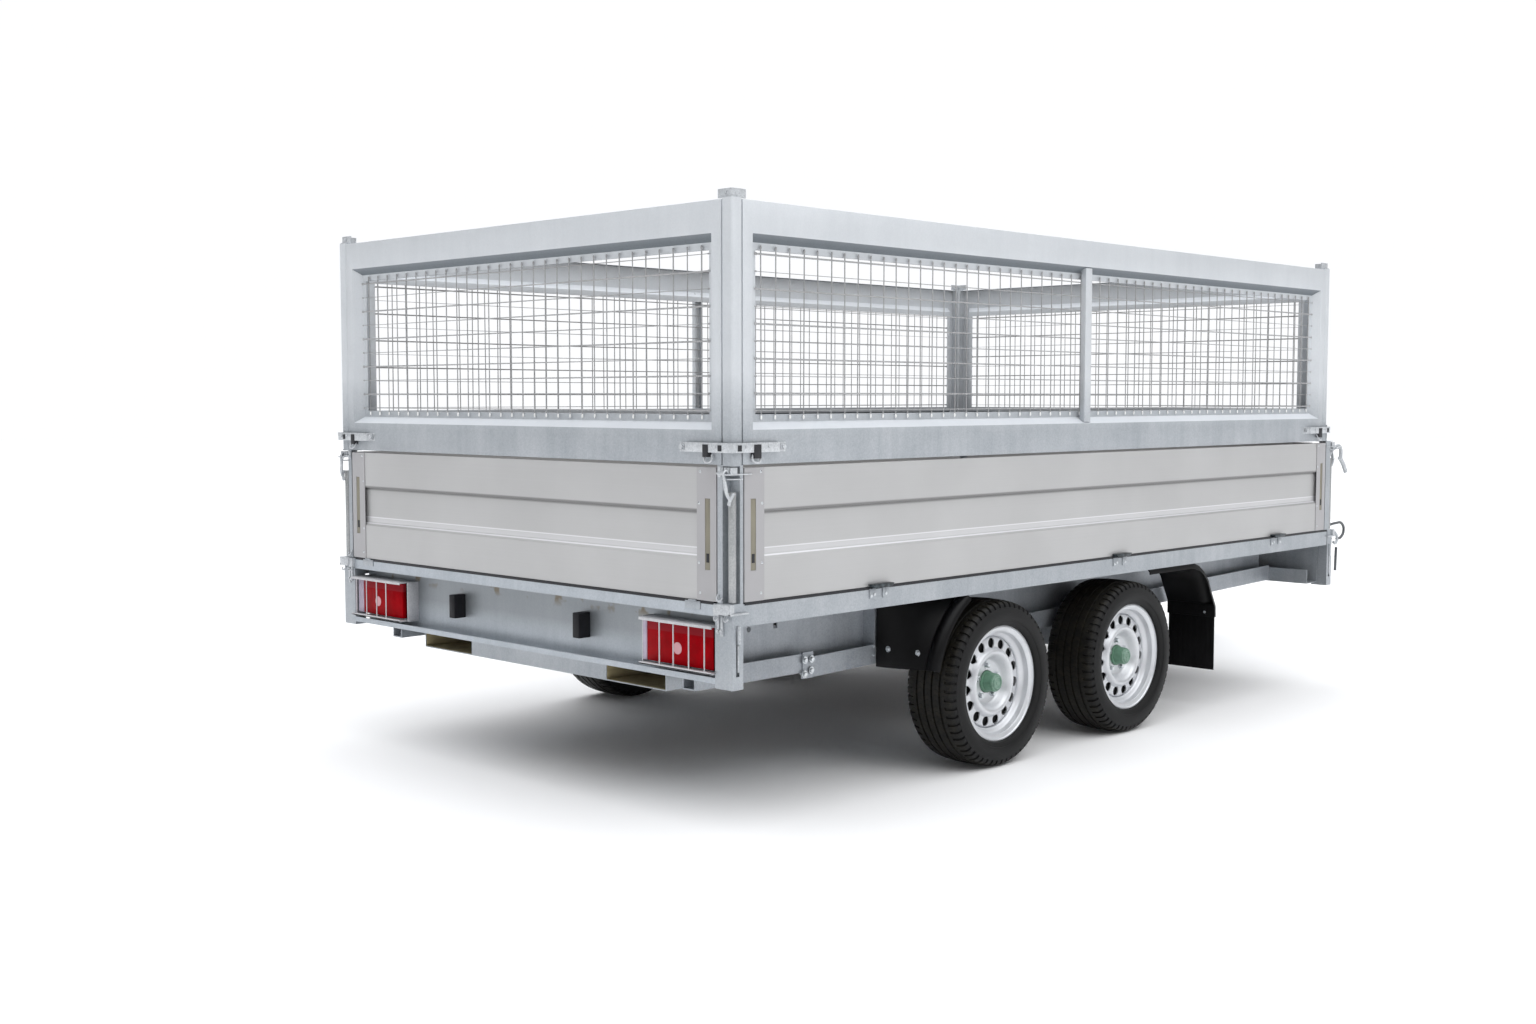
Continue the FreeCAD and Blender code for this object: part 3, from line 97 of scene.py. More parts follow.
bpy.ops.object.select_all(action="DESELECT")
bpy.ops.mesh.primitive_plane_add(size=floor_size, location=(0, 0, 0))
floor = bpy.context.object
floor.name = "floor"
floor_paint = bpy.data.materials.new("white_floor_paint")
floor_paint.use_nodes = True
set_inputs(floor_paint.node_tree, floor_paint.node_tree.nodes["Principled BSDF"],
           {"Base Color": linear("FBFBFB"), "Roughness": 0.9, "Specular IOR Level": 0.0})
floor.data.materials.append(floor_paint)

studio = bpy.data.worlds.new("studio")
bpy.context.scene.world = studio
studio.use_nodes = True
walls = studio.node_tree
way = add_node(walls, "TexCoord").outputs["Generated"]
height = add_node(walls, "SeparateXYZ", {"Vector": way}).outputs["Z"]
ahead = (-math.sin(math.radians(camera_yaw)), math.cos(math.radians(camera_yaw)), 0.0)
facing = add_node(walls, "VectorMath", {0: way, 1: ahead}, operation="DOT_PRODUCT").outputs["Value"]
glow = add_node(walls, "MapRange", {"Value": height, "From Min": pale_wall_ends[0], "From Max": pale_wall_ends[1],
                                    "To Min": wall_pale, "To Max": wall_low}).outputs["Result"]
glow = add_node(walls, "MapRange", {"Value": facing, "From Min": backdrop_edge[0], "From Max": backdrop_edge[1],
                                    "To Min": glow, "To Max": backdrop_white}).outputs["Result"]
ceiling = add_node(walls, "MapRange", {"Value": height, "From Min": ceiling_starts[0],
                                       "From Max": ceiling_starts[1], "To Max": ceiling_bright}).outputs["Result"]
glow = add_node(walls, "Math", {0: glow, 1: ceiling}, operation="MAXIMUM").outputs[0]
set_inputs(walls, walls.nodes["Background"], {"Color": linear("FCFDFF"), "Strength": glow})

lamp_data = bpy.data.lights.new("key_light", "AREA")
lamp_data.size = lamp_width
lamp_data.energy = lamp_watts
lamp = bpy.data.objects.new("key_light", lamp_data)
lamp.location = lamp_place
reach_x, reach_y, reach_z = [a - b for a, b in zip(lamp_aim, lamp_place)]
lamp.rotation_euler = (math.atan2(math.hypot(reach_x, reach_y), -reach_z), 0,
                       math.atan2(reach_y, reach_x) - math.pi / 2)
bpy.context.scene.collection.objects.link(lamp)

# Galvanised steel: chassis, rails, posts and cage are mild steel sheet, welded and dipped in molten zinc.
# Zinc freezes in crystals, which gives the eye a faint spangle, cloudy patches and pale run marks under a
# half chalky skin. Its grain is drawn 2.4 mm wide, 420 to the metre, since the real one is too fine to show.
grain_count = 420.0
spangle_width = 0.004
spangle_share = 0.34
cloud_width = 0.20
run_width = 0.03
run_length = 0.5
run_share = 0.45


def start_material(name):
    """New material with its node tree and the place on the piece, in metres."""
    material = bpy.data.materials.new(name)
    material.use_nodes = True
    tree = material.node_tree
    return material, tree, add_node(tree, "TexCoord").outputs["Object"]


def coat(tree, share, dark, pale, relief=None, depth=None, sockets=None):
    """Mix two tones by a share, lay a relief of a strength and a depth under them, and set the shader's inputs."""
    inputs = dict(sockets)
    inputs["Base Color"] = add_node(tree, "Mix", {"Factor": share, 6: linear(dark), 7: linear(pale)},
                                    data_type="RGBA").outputs[2]
    if relief is not None:
        inputs["Normal"] = add_node(tree, "Bump", {"Height": relief, "Strength": depth[0],
                                                   "Distance": depth[1]}).outputs["Normal"]
    set_inputs(tree, tree.nodes["Principled BSDF"], inputs)


def overlay(material, share, code):
    """Lay one more tone over a material's colour, by a share between 0 and 1."""
    tree = material.node_tree
    shader = tree.nodes["Principled BSDF"]
    under = shader.inputs["Base Color"].links[0].from_socket
    mixed = add_node(tree, "Mix", {"Factor": share, 6: under, 7: linear(code)}, data_type="RGBA")
    tree.links.new(mixed.outputs[2], shader.inputs["Base Color"])


def level_band(material, low, full_low, full_high, high, strength):
    """Share that rises and falls again with height on the piece."""
    tree = material.node_tree
    height = add_node(tree, "SeparateXYZ", {"Vector": add_node(tree, "TexCoord").outputs["Object"]}).outputs["Z"]
    rise = add_node(tree, "MapRange", {"Value": height, "From Min": low, "From Max": full_low}).outputs["Result"]
    fall = add_node(tree, "MapRange", {"Value": height, "From Min": full_high, "From Max": high,
                                       "To Min": strength, "To Max": 0.0}).outputs["Result"]
    return add_node(tree, "Math", {0: rise, 1: fall}, operation="MULTIPLY").outputs[0]


def facing_band(material, least, full, strength):
    """Share of a face by how far it looks up, or down where both limits are negative."""
    tree = material.node_tree
    up = add_node(tree, "SeparateXYZ", {"Vector": add_node(tree, "TexCoord").outputs["Normal"]}).outputs["Z"]
    return add_node(tree, "MapRange", {"Value": up, "From Min": least, "From Max": full, "To Min": 0.0,
                                       "To Max": strength}).outputs["Result"]


def galvanised(name, pale, dark, metal=0.55, rough=0.42):
    """Hot-dip zinc on steel, between a pale and a dark tone."""
    material, tree, place = start_material(name)
    cells = add_node(tree, "TexVoronoi", {"Vector": place, "Scale": 1 / spangle_width, "Randomness": 1.0})
    spangle = add_node(tree, "SeparateColor", {"Color": cells.outputs["Color"]}).outputs["Red"]
    cloud = add_node(tree, "TexNoise", {"Vector": place, "Scale": 1 / cloud_width, "Detail": 5.0,
                                        "Roughness": 0.6}).outputs["Fac"]
    downward = add_node(tree, "Mapping", {"Vector": place, "Scale": (1 / run_width, 1 / run_width, 1 / run_length)})
    runs = add_node(tree, "TexNoise", {"Vector": downward.outputs["Vector"], "Scale": 1.0, "Detail": 3.0})
    tone = add_node(tree, "Math", {0: spangle, 1: spangle_share, 2: -spangle_share / 2},
                    operation="MULTIPLY_ADD").outputs[0]
    tone = add_node(tree, "Math", {0: cloud, 1: 1.0, 2: tone}, operation="MULTIPLY_ADD").outputs[0]
    tone = add_node(tree, "Math", {0: runs.outputs["Fac"], 1: run_share, 2: tone},
                    operation="MULTIPLY_ADD").outputs[0]
    tone = add_node(tree, "MapRange", {"Value": tone, "From Min": 0.35, "From Max": 1.1}).outputs["Result"]
    gloss = add_node(tree, "MapRange", {"Value": spangle, "To Min": rough - 0.07, "To Max": rough + 0.09})
    grain = add_node(tree, "TexNoise", {"Vector": place, "Scale": grain_count, "Detail": 2.0}).outputs["Fac"]
    relief = add_node(tree, "Math", {0: cloud, 1: 0.6, 2: grain}, operation="MULTIPLY_ADD").outputs[0]
    coat(tree, tone, dark, pale, relief, (0.12, 0.001), {"Roughness": gloss.outputs["Result"], "Metallic": metal})
    return material


def dress(names, material):
    """Give carried-over pieces their finish."""
    for name in names:
        nodes[name].data.materials.clear()
        nodes[name].data.materials.append(material)


zinc = galvanised("hot_dip_galvanised_steel", "B9BDC1", "989EA4")
dress(["side_rails", "front_crossbeam", "corner_pockets", "corner_stakes", "ramp_channels"], zinc)
# The cage is newer and chalkier, and paler from 1.05 m up.
cage_zinc = galvanised("cage_galvanised_steel_painted_shading", "B9BDC1", "989EA4", 0.35, 0.55)
overlay(cage_zinc, level_band(cage_zinc, 1.05, 1.22, 3.0, 4.0, 0.52), "EEF1F4")
# Painted shade on faces that look down, and painted highlight on faces that look up.
overlay(cage_zinc, facing_band(cage_zinc, -0.35, -0.7, 0.85), "4E5860")
overlay(cage_zinc, facing_band(cage_zinc, 0.20, 0.55, 0.6), "EEF2F7")
dress(["cage_posts"], cage_zinc)
dull_zinc = galvanised("weathered_galvanised_steel", "B6BABF", "8E949B", 0.5, 0.5)
dress(["chassis_beams", "cross_members", "axle_rear", "axle_front", "drawbar", "brake_lever", "jockey_clamp",
       "jockey_tube", "jockey_leg", "jockey_fork"], dull_zinc)

# Rear crossbeam: a folded galvanised channel across the chassis' tail that carries the lamps.
# Its web is darker from 440 to 583 mm up, and brown stains of 30 to 60 mm run along the foot of its top flange.
stain_width = 0.0625
beam_zinc = galvanised("stained_galvanised_steel_painted_highlight", "BDC3C9", "A2A9B0")
overlay(beam_zinc, level_band(beam_zinc, 0.440, 0.500, 0.572, 0.583, 0.55), "6F7273")
# Painted highlight: faces that look up are painted paler.
overlay(beam_zinc, facing_band(beam_zinc, 0.4, 0.8, 0.5), "E4E8EC")
tree = beam_zinc.node_tree
place = add_node(tree, "TexCoord").outputs["Object"]
stain = add_node(tree, "TexNoise", {"Vector": place, "Scale": 1 / stain_width, "Detail": 6.0}).outputs["Fac"]
stain = add_node(tree, "MapRange", {"Value": stain, "From Min": 0.56, "From Max": 0.64}).outputs["Result"]
stain = add_node(tree, "Math", {0: stain, 1: level_band(beam_zinc, 0.535, 0.560, 0.574, 0.580, 0.75)},
                 operation="MULTIPLY").outputs[0]
overlay(beam_zinc, stain, "6E5F42")
dress(["rear_crossbeam"], beam_zinc)

# Drop sides: extruded aluminium planks, anodised to a warm silver grey. The satin skin shows lengthwise
# drawing lines, 1.6 mm wide since the real ones are too fine to show, and a tone that drifts over 330 mm.
# The extrusion's steps get one line of painted shade under the upper step and three lines of painted highlight
# along the lower step, listed by their heights, strength and tone.
drawing_line = 0.0016
step_shade_and_highlights = [(0.8460, 0.8515, 0.8595, 0.8635, 0.62, "4C4B4B"),
                  (0.7345, 0.7365, 0.7385, 0.7405, 0.75, "F4F4F8"),
                  (0.7405, 0.7425, 0.7535, 0.7555, 0.30, "E8E8EC"),
                  (0.7545, 0.7565, 0.7580, 0.7600, 0.60, "F4F4F8")]


def anodised(name, tone, shade, along):
    """Satin anodised aluminium with drawing lines along one axis."""
    material, tree, place = start_material(name)
    squeeze = [1 / drawing_line] * 3
    squeeze[along] = 0.6
    lines = add_node(tree, "Mapping", {"Vector": place, "Scale": squeeze}).outputs["Vector"]
    drawn = add_node(tree, "TexNoise", {"Vector": lines, "Scale": 1.0, "Detail": 3.0}).outputs["Fac"]
    haze = add_node(tree, "TexNoise", {"Vector": place, "Scale": 3.0, "Detail": 3.0}).outputs["Fac"]
    share = add_node(tree, "Math", {0: drawn, 1: 0.35, 2: haze}, operation="MULTIPLY_ADD").outputs[0]
    share = add_node(tree, "MapRange", {"Value": share, "From Min": 0.4, "From Max": 0.95}).outputs["Result"]
    coat(tree, share, shade, tone, drawn, (0.05, 0.0005), {"Metallic": 0.35, "Roughness": 0.38})
    # Painted shade and painted highlights along the extrusion's steps.
    for *levels, code in step_shade_and_highlights:
        overlay(material, level_band(material, *levels), code)
    return material


dress(["dropside_right", "dropside_left"], anodised("anodised_aluminium_sides", "BCBCBC", "B2B2B2", 1))
dress(["dropside_rear", "dropside_front"], anodised("anodised_aluminium_ends", "BCBCBC", "B2B2B2", 0))

# End caps: sheet steel covers over the plank ends, powder coated in warm grey. The powder melts to an
# orange-peel of 2.5 mm, which gives the eye an even satin sheen, and its tone drifts over 110 mm.
peel_width = 0.0025


def coated(name, dark, pale, grain, depth, rough, cloud=None):
    """Painted, primed or moulded skin: tones in clouds over a fine grain, each as (count in a metre, detail)."""
    material, tree, place = start_material(name)
    fine = add_node(tree, "TexNoise", {"Vector": place, "Scale": grain[0], "Detail": grain[1]}).outputs["Fac"]
    tones = fine
    if cloud:
        tones = add_node(tree, "TexNoise", {"Vector": place, "Scale": cloud[0], "Detail": cloud[1]}).outputs["Fac"]
    coat(tree, tones, dark, pale, fine, depth, {"Roughness": rough})
    return material


cap_paint = coated("grey_powder_coat", "A1A0A2", "AEADAF", (1 / peel_width, 2.0), (0.08, 0.0005), 0.42, (9.0, 3.0))
dress(["end_caps_right", "end_caps_left", "end_caps_rear", "end_caps_front"], cap_paint)

# Deck: birch plywood with a dark phenolic film, pressed with a fine wire mesh on its top for grip.
# The mesh print is 6 mm wide and shows as a soft diamond grain, worn paler in patches of 450 mm.
print_width = 0.006
deck_film, tree, place = start_material("phenolic_film_birch_plywood")
turned = add_node(tree, "Mapping", {"Vector": place, "Rotation": (0, 0, math.radians(45))}).outputs["Vector"]
prints = [add_node(tree, "TexWave", {"Vector": turned, "Scale": 1 / (print_width * 2 * math.pi)},
                   bands_direction=axis).outputs["Fac"] for axis in ("X", "Y")]
print_mesh = add_node(tree, "Math", {0: prints[0], 1: prints[1]}, operation="MAXIMUM").outputs[0]
wear = add_node(tree, "TexNoise", {"Vector": place, "Scale": 2.2, "Detail": 6.0, "Roughness": 0.65}).outputs["Fac"]
coat(tree, wear, "3A2E26", "6A5A4C", print_mesh, (0.3, 0.0006), {"Roughness": 0.5})
dress(["deck_board"], deck_film)

# Tyres: 195/50 R13 trailer tyres, moulded rubber with four grooves round the tread and slots
# across both shoulders. Each is vulcanised in one piece and pressed onto the rim's bead seats.
tyre_low, tyre_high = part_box("tyre_rear_right")
wheel_x = (tyre_low.x + tyre_high.x) / 2
wheel_y = (tyre_low.y + tyre_high.y) / 2
tyre_radius = (tyre_high.z - tyre_low.z) / 2
axle_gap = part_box("tyre_front_right")[0].y - tyre_low.y
wheel_places = {"rear_right": (0.0, False), "rear_left": (0.0, True),
                "front_right": (axle_gap, False), "front_left": (axle_gap, True)}
tyre_steps = 180
slot_every = 3
slot_depth = 0.0045
slot_edge = 0.0012
bead_radius = 0.1655
bead_half = 0.0690
tread = [(0.0105, 0.2624), (0.0120, 0.2565), (0.0165, 0.2565), (0.0180, 0.2622), (0.0300, 0.2620), (0.0400, 0.2614),
         (0.0415, 0.2556), (0.0470, 0.2554), (0.0485, 0.2608), (0.0600, 0.2600), (0.0700, 0.2588), (0.0800, 0.2566),
         (0.0870, 0.2524), (0.0910, 0.2462), (0.0925, 0.2400), (0.0935, 0.2395)]
sidewall = [(0.0955, 0.2300), (0.0970, 0.2220), (0.0975, 0.2130), (0.0966, 0.2040), (0.0950, 0.2000),
            (0.0935, 0.1995), (0.0910, 0.1910), (0.0860, 0.1850), (0.0800, 0.1830)]
bead = [(bead_half + 0.0052, 0.1780), (bead_half, bead_radius), (bead_half - 0.008, bead_radius)]
inner_wall = [(0.0640, 0.1800), (0.0800, 0.2050), (0.0840, 0.2170), (0.0800, 0.2380), (0.0660, 0.2490)]


def pick_only(*pieces):
    """Select these pieces alone, with the first one active."""
    bpy.ops.object.select_all(action="DESELECT")
    for piece in pieces:
        piece.select_set(True)
    bpy.context.view_layer.objects.active = pieces[0]


def start_outline(points):
    """A closed ring of edges: a circle whose points are drawn out to an outline."""
    bpy.ops.object.select_all(action="DESELECT")
    bpy.ops.mesh.primitive_circle_add(vertices=len(points), fill_type="NOTHING")
    ring = bpy.context.object
    for vertex, point in zip(ring.data.vertices, points):
        vertex.co = point
    bpy.ops.object.mode_set(mode="EDIT")
    bpy.ops.mesh.select_all(action="SELECT")
    return ring


def close_mesh(piece):
    """Merge doubles, turn the faces outwards and leave edit mode."""
    bpy.ops.mesh.select_all(action="SELECT")
    bpy.ops.mesh.remove_doubles(threshold=1e-6)
    bpy.ops.mesh.normals_make_consistent(inside=False)
    bpy.ops.object.mode_set(mode="OBJECT")
    return piece


def turn_on_axle(outline, start_x, steps):
    """Solid turned round the rear axle; its outline is a list of (outward from start_x, radius)."""
    ring = start_outline([(start_x + out, wheel_y, tyre_radius + radius) for out, radius in outline])
    bpy.ops.mesh.spin(steps=steps, angle=2 * math.pi, center=(0, wheel_y, tyre_radius), axis=(1, 0, 0))
    return close_mesh(ring)


def pick_faces(piece, wanted):
    """Select the faces whose centre is wanted, and stay in edit mode."""
    pick_only(piece)
    bpy.ops.object.mode_set(mode="EDIT")
    bpy.ops.mesh.select_mode(type="FACE")
    bpy.ops.mesh.select_all(action="DESELECT")
    bpy.ops.object.mode_set(mode="OBJECT")
    for face in piece.data.polygons:
        face.select = wanted(face.center)
    bpy.ops.object.mode_set(mode="EDIT")


def smooth(piece, degrees=30.0):
    """Smooth shading that keeps edges sharper than the angle."""
    pick_only(piece)
    bpy.ops.object.shade_smooth_by_angle(angle=math.radians(degrees))


def copy_piece(piece, name, shift=(0.0, 0.0, 0.0), mirrored=False):
    """Copy with its own mesh, moved, or mirrored to the trailer's left side with its faces put right."""
    other = piece.copy()
    other.data = piece.data.copy()
    other.name = name
    bpy.context.scene.collection.objects.link(other)
    for vertex in other.data.vertices:
        vertex.co = [a + b for a, b in zip(vertex.co, shift)]
        if mirrored:
            vertex.co.x = -vertex.co.x
    if mirrored:
        other.data.flip_normals()
    return other


def fit(piece, name, material, body, slot, *replaced):
    """Name a finished piece, give it its finish and body, and let it stand for its plain pieces."""
    piece.name = name
    piece.data.materials.clear()
    piece.data.materials.append(material)
    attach(piece, body)
    if replaced:
        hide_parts(*replaced)


def in_shoulder_slot(centre):
    """True on every third step round the tyre, between the outer rib and the sidewall."""
    forward, up = centre.y - wheel_y, centre.z - tyre_radius
    step = int(math.atan2(forward, up) % (2 * math.pi) / (2 * math.pi) * tyre_steps)
    return 0.060 < abs(centre.x - wheel_x) < 0.0925 and math.hypot(forward, up) > 0.242 and step % slot_every == 0


half_tyre = tread + sidewall + bead + inner_wall
tyre = turn_on_axle(half_tyre + [(-x, radius) for x, radius in reversed(half_tyre)], wheel_x, tyre_steps)
pick_faces(tyre, in_shoulder_slot)
bpy.ops.mesh.inset(thickness=slot_edge, depth=-slot_depth, use_boundary=True)
bpy.ops.object.mode_set(mode="OBJECT")
smooth(tyre, 28)

# Tyre rubber: black and dull, with dust in spots of 26 mm on the tread, and a cleaner sidewall with moulded
# rings 4.5 mm apart. Fine sipes cross the tread in waves, 96 in a turn and 30 mm from crest to crest, painted near
# black as painted shade in their cuts.
sipe_count = 96
sipe_wave = 0.030
sipe_swing = 1.6
ring_pitch = 0.0045


def rubber(name, y):
    """Black tyre rubber round the axle at y."""
    material, tree, place = start_material(name)
    middle = add_node(tree, "Mapping", {"Vector": place, "Location": (0.0, -y, -tyre_radius)}).outputs["Vector"]
    parts = add_node(tree, "SeparateXYZ", {"Vector": middle}).outputs
    flat = add_node(tree, "CombineXYZ", {"Y": parts["Y"], "Z": parts["Z"]}).outputs["Vector"]
    radius = add_node(tree, "VectorMath", {0: flat}, operation="LENGTH").outputs["Value"]
    turn = add_node(tree, "Math", {0: parts["Y"], 1: parts["Z"]}, operation="ARCTAN2").outputs[0]
    on_tread = add_node(tree, "MapRange", {"Value": radius, "From Min": 0.250, "From Max": 0.256}).outputs["Result"]
    sway = add_node(tree, "Math", {0: parts["X"], 1: 2 * math.pi / sipe_wave}, operation="MULTIPLY").outputs[0]
    sway = add_node(tree, "Math", {0: sway}, operation="SINE").outputs[0]
    sipe = add_node(tree, "Math", {0: turn, 1: sipe_count}, operation="MULTIPLY").outputs[0]
    sipe = add_node(tree, "Math", {0: sway, 1: sipe_swing, 2: sipe}, operation="MULTIPLY_ADD").outputs[0]
    sipe = add_node(tree, "Math", {0: sipe}, operation="SINE").outputs[0]
    sipe = add_node(tree, "MapRange", {"Value": sipe, "From Min": 0.80, "From Max": 0.97}).outputs["Result"]
    sipe = add_node(tree, "Math", {0: sipe, 1: on_tread}, operation="MULTIPLY").outputs[0]
    dust = add_node(tree, "TexNoise", {"Vector": place, "Scale": 38.0, "Detail": 6.0,
                                       "Roughness": 0.7}).outputs["Fac"]
    dusty = add_node(tree, "MapRange", {"Value": dust, "From Min": 0.35, "From Max": 0.75}).outputs["Result"]
    dusty = add_node(tree, "Math", {0: dusty, 1: on_tread}, operation="MULTIPLY").outputs[0]
    rings = add_node(tree, "Math", {0: radius, 1: 2 * math.pi / ring_pitch}, operation="MULTIPLY").outputs[0]
    rings = add_node(tree, "Math", {0: rings}, operation="SINE").outputs[0]
    relief = add_node(tree, "Math", {0: sipe, 1: -6.0, 2: rings}, operation="MULTIPLY_ADD").outputs[0]
    relief = add_node(tree, "Math", {0: dust, 1: 1.5, 2: relief}, operation="MULTIPLY_ADD").outputs[0]
    coat(tree, dusty, "09090A", "27241A", relief, (0.25, 0.0006), {"Roughness": 0.55, "Specular IOR Level": 0.30})
    # Painted shade: the sipe cuts are painted near black.
    overlay(material, sipe, "040404")
    return material


rubbers = {0.0: rubber("rear_tyre_rubber", wheel_y), axle_gap: rubber("front_tyre_rubber", wheel_y + axle_gap)}
for wheel, (shift, mirrored) in wheel_places.items():
    piece = copy_piece(tyre, "tyre_moulded_" + wheel, (0.0, shift, 0.0), mirrored)
    fit(piece, "tyre_moulded_" + wheel, rubbers[shift], "wheel_" + wheel, "tyre_rubber", "tyre_" + wheel)
bpy.data.objects.remove(tyre)

# Rims: two steel pressings, a rolled barrel with its drop centre and a dished disc with fifteen hand holes,
# welded together and sprayed silver. The lacquer's flake, drawn 1.2 mm wide to show, gives a soft metal
# sheen, cloudy over 70 mm.
rim_steps = 120
sheet = 0.0042
face_x = wheel_x + 0.06985
hole_circle = 0.124
hole_radius = 0.0158
hole_count = 15
flake_width = 0.0012
barrel_line = [(0.0085, 0.1822), (0.0062, 0.1824), (0.0035, 0.1800), (0.0015, 0.1700), (-0.0015, 0.1664),
               (-0.0140, 0.1648), (-0.0170, 0.1640), (-0.0200, 0.1610), (-0.0240, 0.1540), (-0.0270, 0.1508),
               (-0.0310, 0.1495), (-0.0900, 0.1492), (-0.0980, 0.1510), (-0.110, 0.1636), (-0.138, 0.1650),
               (-0.1415, 0.1690), (-0.1435, 0.1800), (-0.1470, 0.1822)]
barrel_back = [(x + (0.002 if x > -0.07 else -0.002) * (radius > 0.166), radius - sheet)
               for x, radius in reversed(barrel_line)]
disc_line = [(-0.0440, 0.0362), (-0.0440, 0.0660), (-0.0425, 0.0690), (-0.0370, 0.0735), (-0.0250, 0.0800),
             (-0.0165, 0.0855), (-0.0125, 0.0910), (-0.0112, 0.0965), (-0.0125, 0.1010), (-0.0165, 0.1052),
             (-0.0235, 0.1095), (-0.0262, 0.1120), (-0.0275, 0.1370), (-0.0290, 0.1405), (-0.0330, 0.1432),
             (-0.0400, 0.1470)]
disc_back = [(x - sheet, radius) for x, radius in reversed(disc_line)]


def apply_modifier(piece, kind, **settings):
    """Put one modifier on a piece and apply it."""
    pick_only(piece)
    modifier = piece.modifiers.new(kind.lower(), kind)
    for key, value in settings.items():
        setattr(modifier, key, value)
    bpy.ops.object.modifier_apply(modifier=modifier.name)


def join_pieces(pieces):
    """One object from several, in the place of the first."""
    pick_only(*pieces)
    bpy.ops.object.join()
    return pieces[0]


barrel = turn_on_axle(barrel_line + barrel_back, face_x, rim_steps)
disc = turn_on_axle(disc_line + disc_back, face_x, rim_steps)
bpy.ops.object.select_all(action="DESELECT")
bpy.ops.mesh.primitive_cylinder_add(vertices=28, radius=hole_radius, depth=0.03, rotation=(0, math.pi / 2, 0),
                                    location=(face_x - 0.027, wheel_y, tyre_radius + hole_circle))
cutter = bpy.context.object
bpy.ops.object.transform_apply()
bpy.ops.object.mode_set(mode="EDIT")
bpy.ops.mesh.select_all(action="SELECT")
bpy.ops.mesh.spin(steps=hole_count, angle=2 * math.pi, dupli=True, center=(0, wheel_y, tyre_radius), axis=(1, 0, 0))
close_mesh(cutter)
apply_modifier(disc, "BOOLEAN", operation="DIFFERENCE", object=cutter, solver="EXACT")
bpy.data.objects.remove(cutter)
rim = join_pieces([barrel, disc])
smooth(rim, 32)
wheel_paint, tree, place = start_material("silver_wheel_lacquer_on_steel")
flake = add_node(tree, "TexVoronoi", {"Vector": place, "Scale": 1 / flake_width}).outputs["Color"]
flake = add_node(tree, "SeparateColor", {"Color": flake}).outputs["Red"]
haze = add_node(tree, "TexNoise", {"Vector": place, "Scale": 14.0, "Detail": 4.0}).outputs["Fac"]
tone = add_node(tree, "Math", {0: flake, 1: 0.25, 2: haze}, operation="MULTIPLY_ADD").outputs[0]
coat(tree, tone, "C2C4C8", "DEE0E3", haze, (0.05, 0.001), {"Metallic": 0.45, "Roughness": 0.34})
for wheel, (shift, mirrored) in wheel_places.items():
    piece = copy_piece(rim, "rim_pressed_" + wheel, (0.0, shift, 0.0), mirrored)
    fit(piece, "rim_pressed_" + wheel, wheel_paint, "wheel_" + wheel, "wheel_steel", "rim_" + wheel)
bpy.data.objects.remove(rim)

# Hubs: cast iron brake drums with a green painted nose that holds the bearings, closed by a
# bright grease cap. Five plated wheel bolts clamp the rim's disc against the drum.
hub_low, hub_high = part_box("hub_rear_right")
seat_x = hub_high.x - 0.052
drum_back = hub_low.x - seat_x
drum_line = [(drum_back, 0.0172), (-0.0002, 0.0172), (-0.0002, 0.0790), (-0.008, 0.1030), (-0.014, 0.1095),
             (-0.030, 0.1095), (-0.032, 0.1070), (-0.046, 0.1070), (-0.048, 0.1095), (drum_back, 0.1095)]
# A near-black ring behind the hand holes, turned with the drum, is painted shade for the dark inside of the wheel.
shade_ring_line = [(-0.010, 0.1000), (0.0105, 0.1040), (0.0105, 0.1415), (0.0075, 0.1415), (0.0075, 0.1070),
               (-0.012, 0.1040)]
nose_line = [(0, 0.0172), (0, 0.0348), (0.0105, 0.0348), (0.0125, 0.0335), (0.0135, 0.0305), (0.0415, 0.0290),
             (0.0430, 0.0280), (0.0430, 0.0172)]
cap_line = [(0.0425, 0.0005), (0.0425, 0.0268), (0.0450, 0.0272), (0.0465, 0.0262), (0.0470, 0.0225),
            (0.0495, 0.0215), (0.0515, 0.0190), (0.0515, 0.0160), (0.0490, 0.0145), (0.0490, 0.0070),
            (0.0505, 0.0060), (0.0505, 0.0005)]
outward = (1, 0, 0)
bolt_circle = 0.0520
bolt_count = 5
wheel_bolt = (0.0085, 0.009, 0.0025)


def hex_bolt(place, way, radius, height, washer=0.0):
    """Hexagon bolt head on its washer; way is the axis it points along, such as (1, 0, 0)."""
    turn = (0, math.pi / 2, 0) if way[0] else ((math.pi / 2, 0, 0) if way[1] else (0, 0, 0))
    middle = [p + w * (height / 2 + washer) for p, w in zip(place, way)]
    bpy.ops.object.select_all(action="DESELECT")
    bpy.ops.mesh.primitive_cylinder_add(vertices=6, radius=radius, depth=height, location=middle, rotation=turn)
    head = bpy.context.object
    bpy.ops.object.transform_apply()
    apply_modifier(head, "BEVEL", width=radius * 0.14, segments=1)
    if washer:
        middle = [p + w * washer / 2 for p, w in zip(place, way)]
        bpy.ops.object.select_all(action="DESELECT")
        bpy.ops.mesh.primitive_cylinder_add(vertices=20, radius=radius * 1.45, depth=washer, location=middle,
                                            rotation=turn)
        ring = bpy.context.object
        bpy.ops.object.transform_apply()
        head = join_pieces([head, ring])
    return head


drum = join_pieces([turn_on_axle(drum_line, seat_x, 64), turn_on_axle(shade_ring_line, seat_x, 64)])
nose = turn_on_axle(nose_line, seat_x, 48)
cap = turn_on_axle(cap_line, seat_x, 48)
wheel_bolts = []
for i in range(bolt_count):
    turn = 2 * math.pi * i / bolt_count
    place = (seat_x + 0.0052, wheel_y + bolt_circle * math.sin(turn), tyre_radius + bolt_circle * math.cos(turn))
    wheel_bolts.append(hex_bolt(place, outward, *wheel_bolt))
wheel_bolts = join_pieces(wheel_bolts)
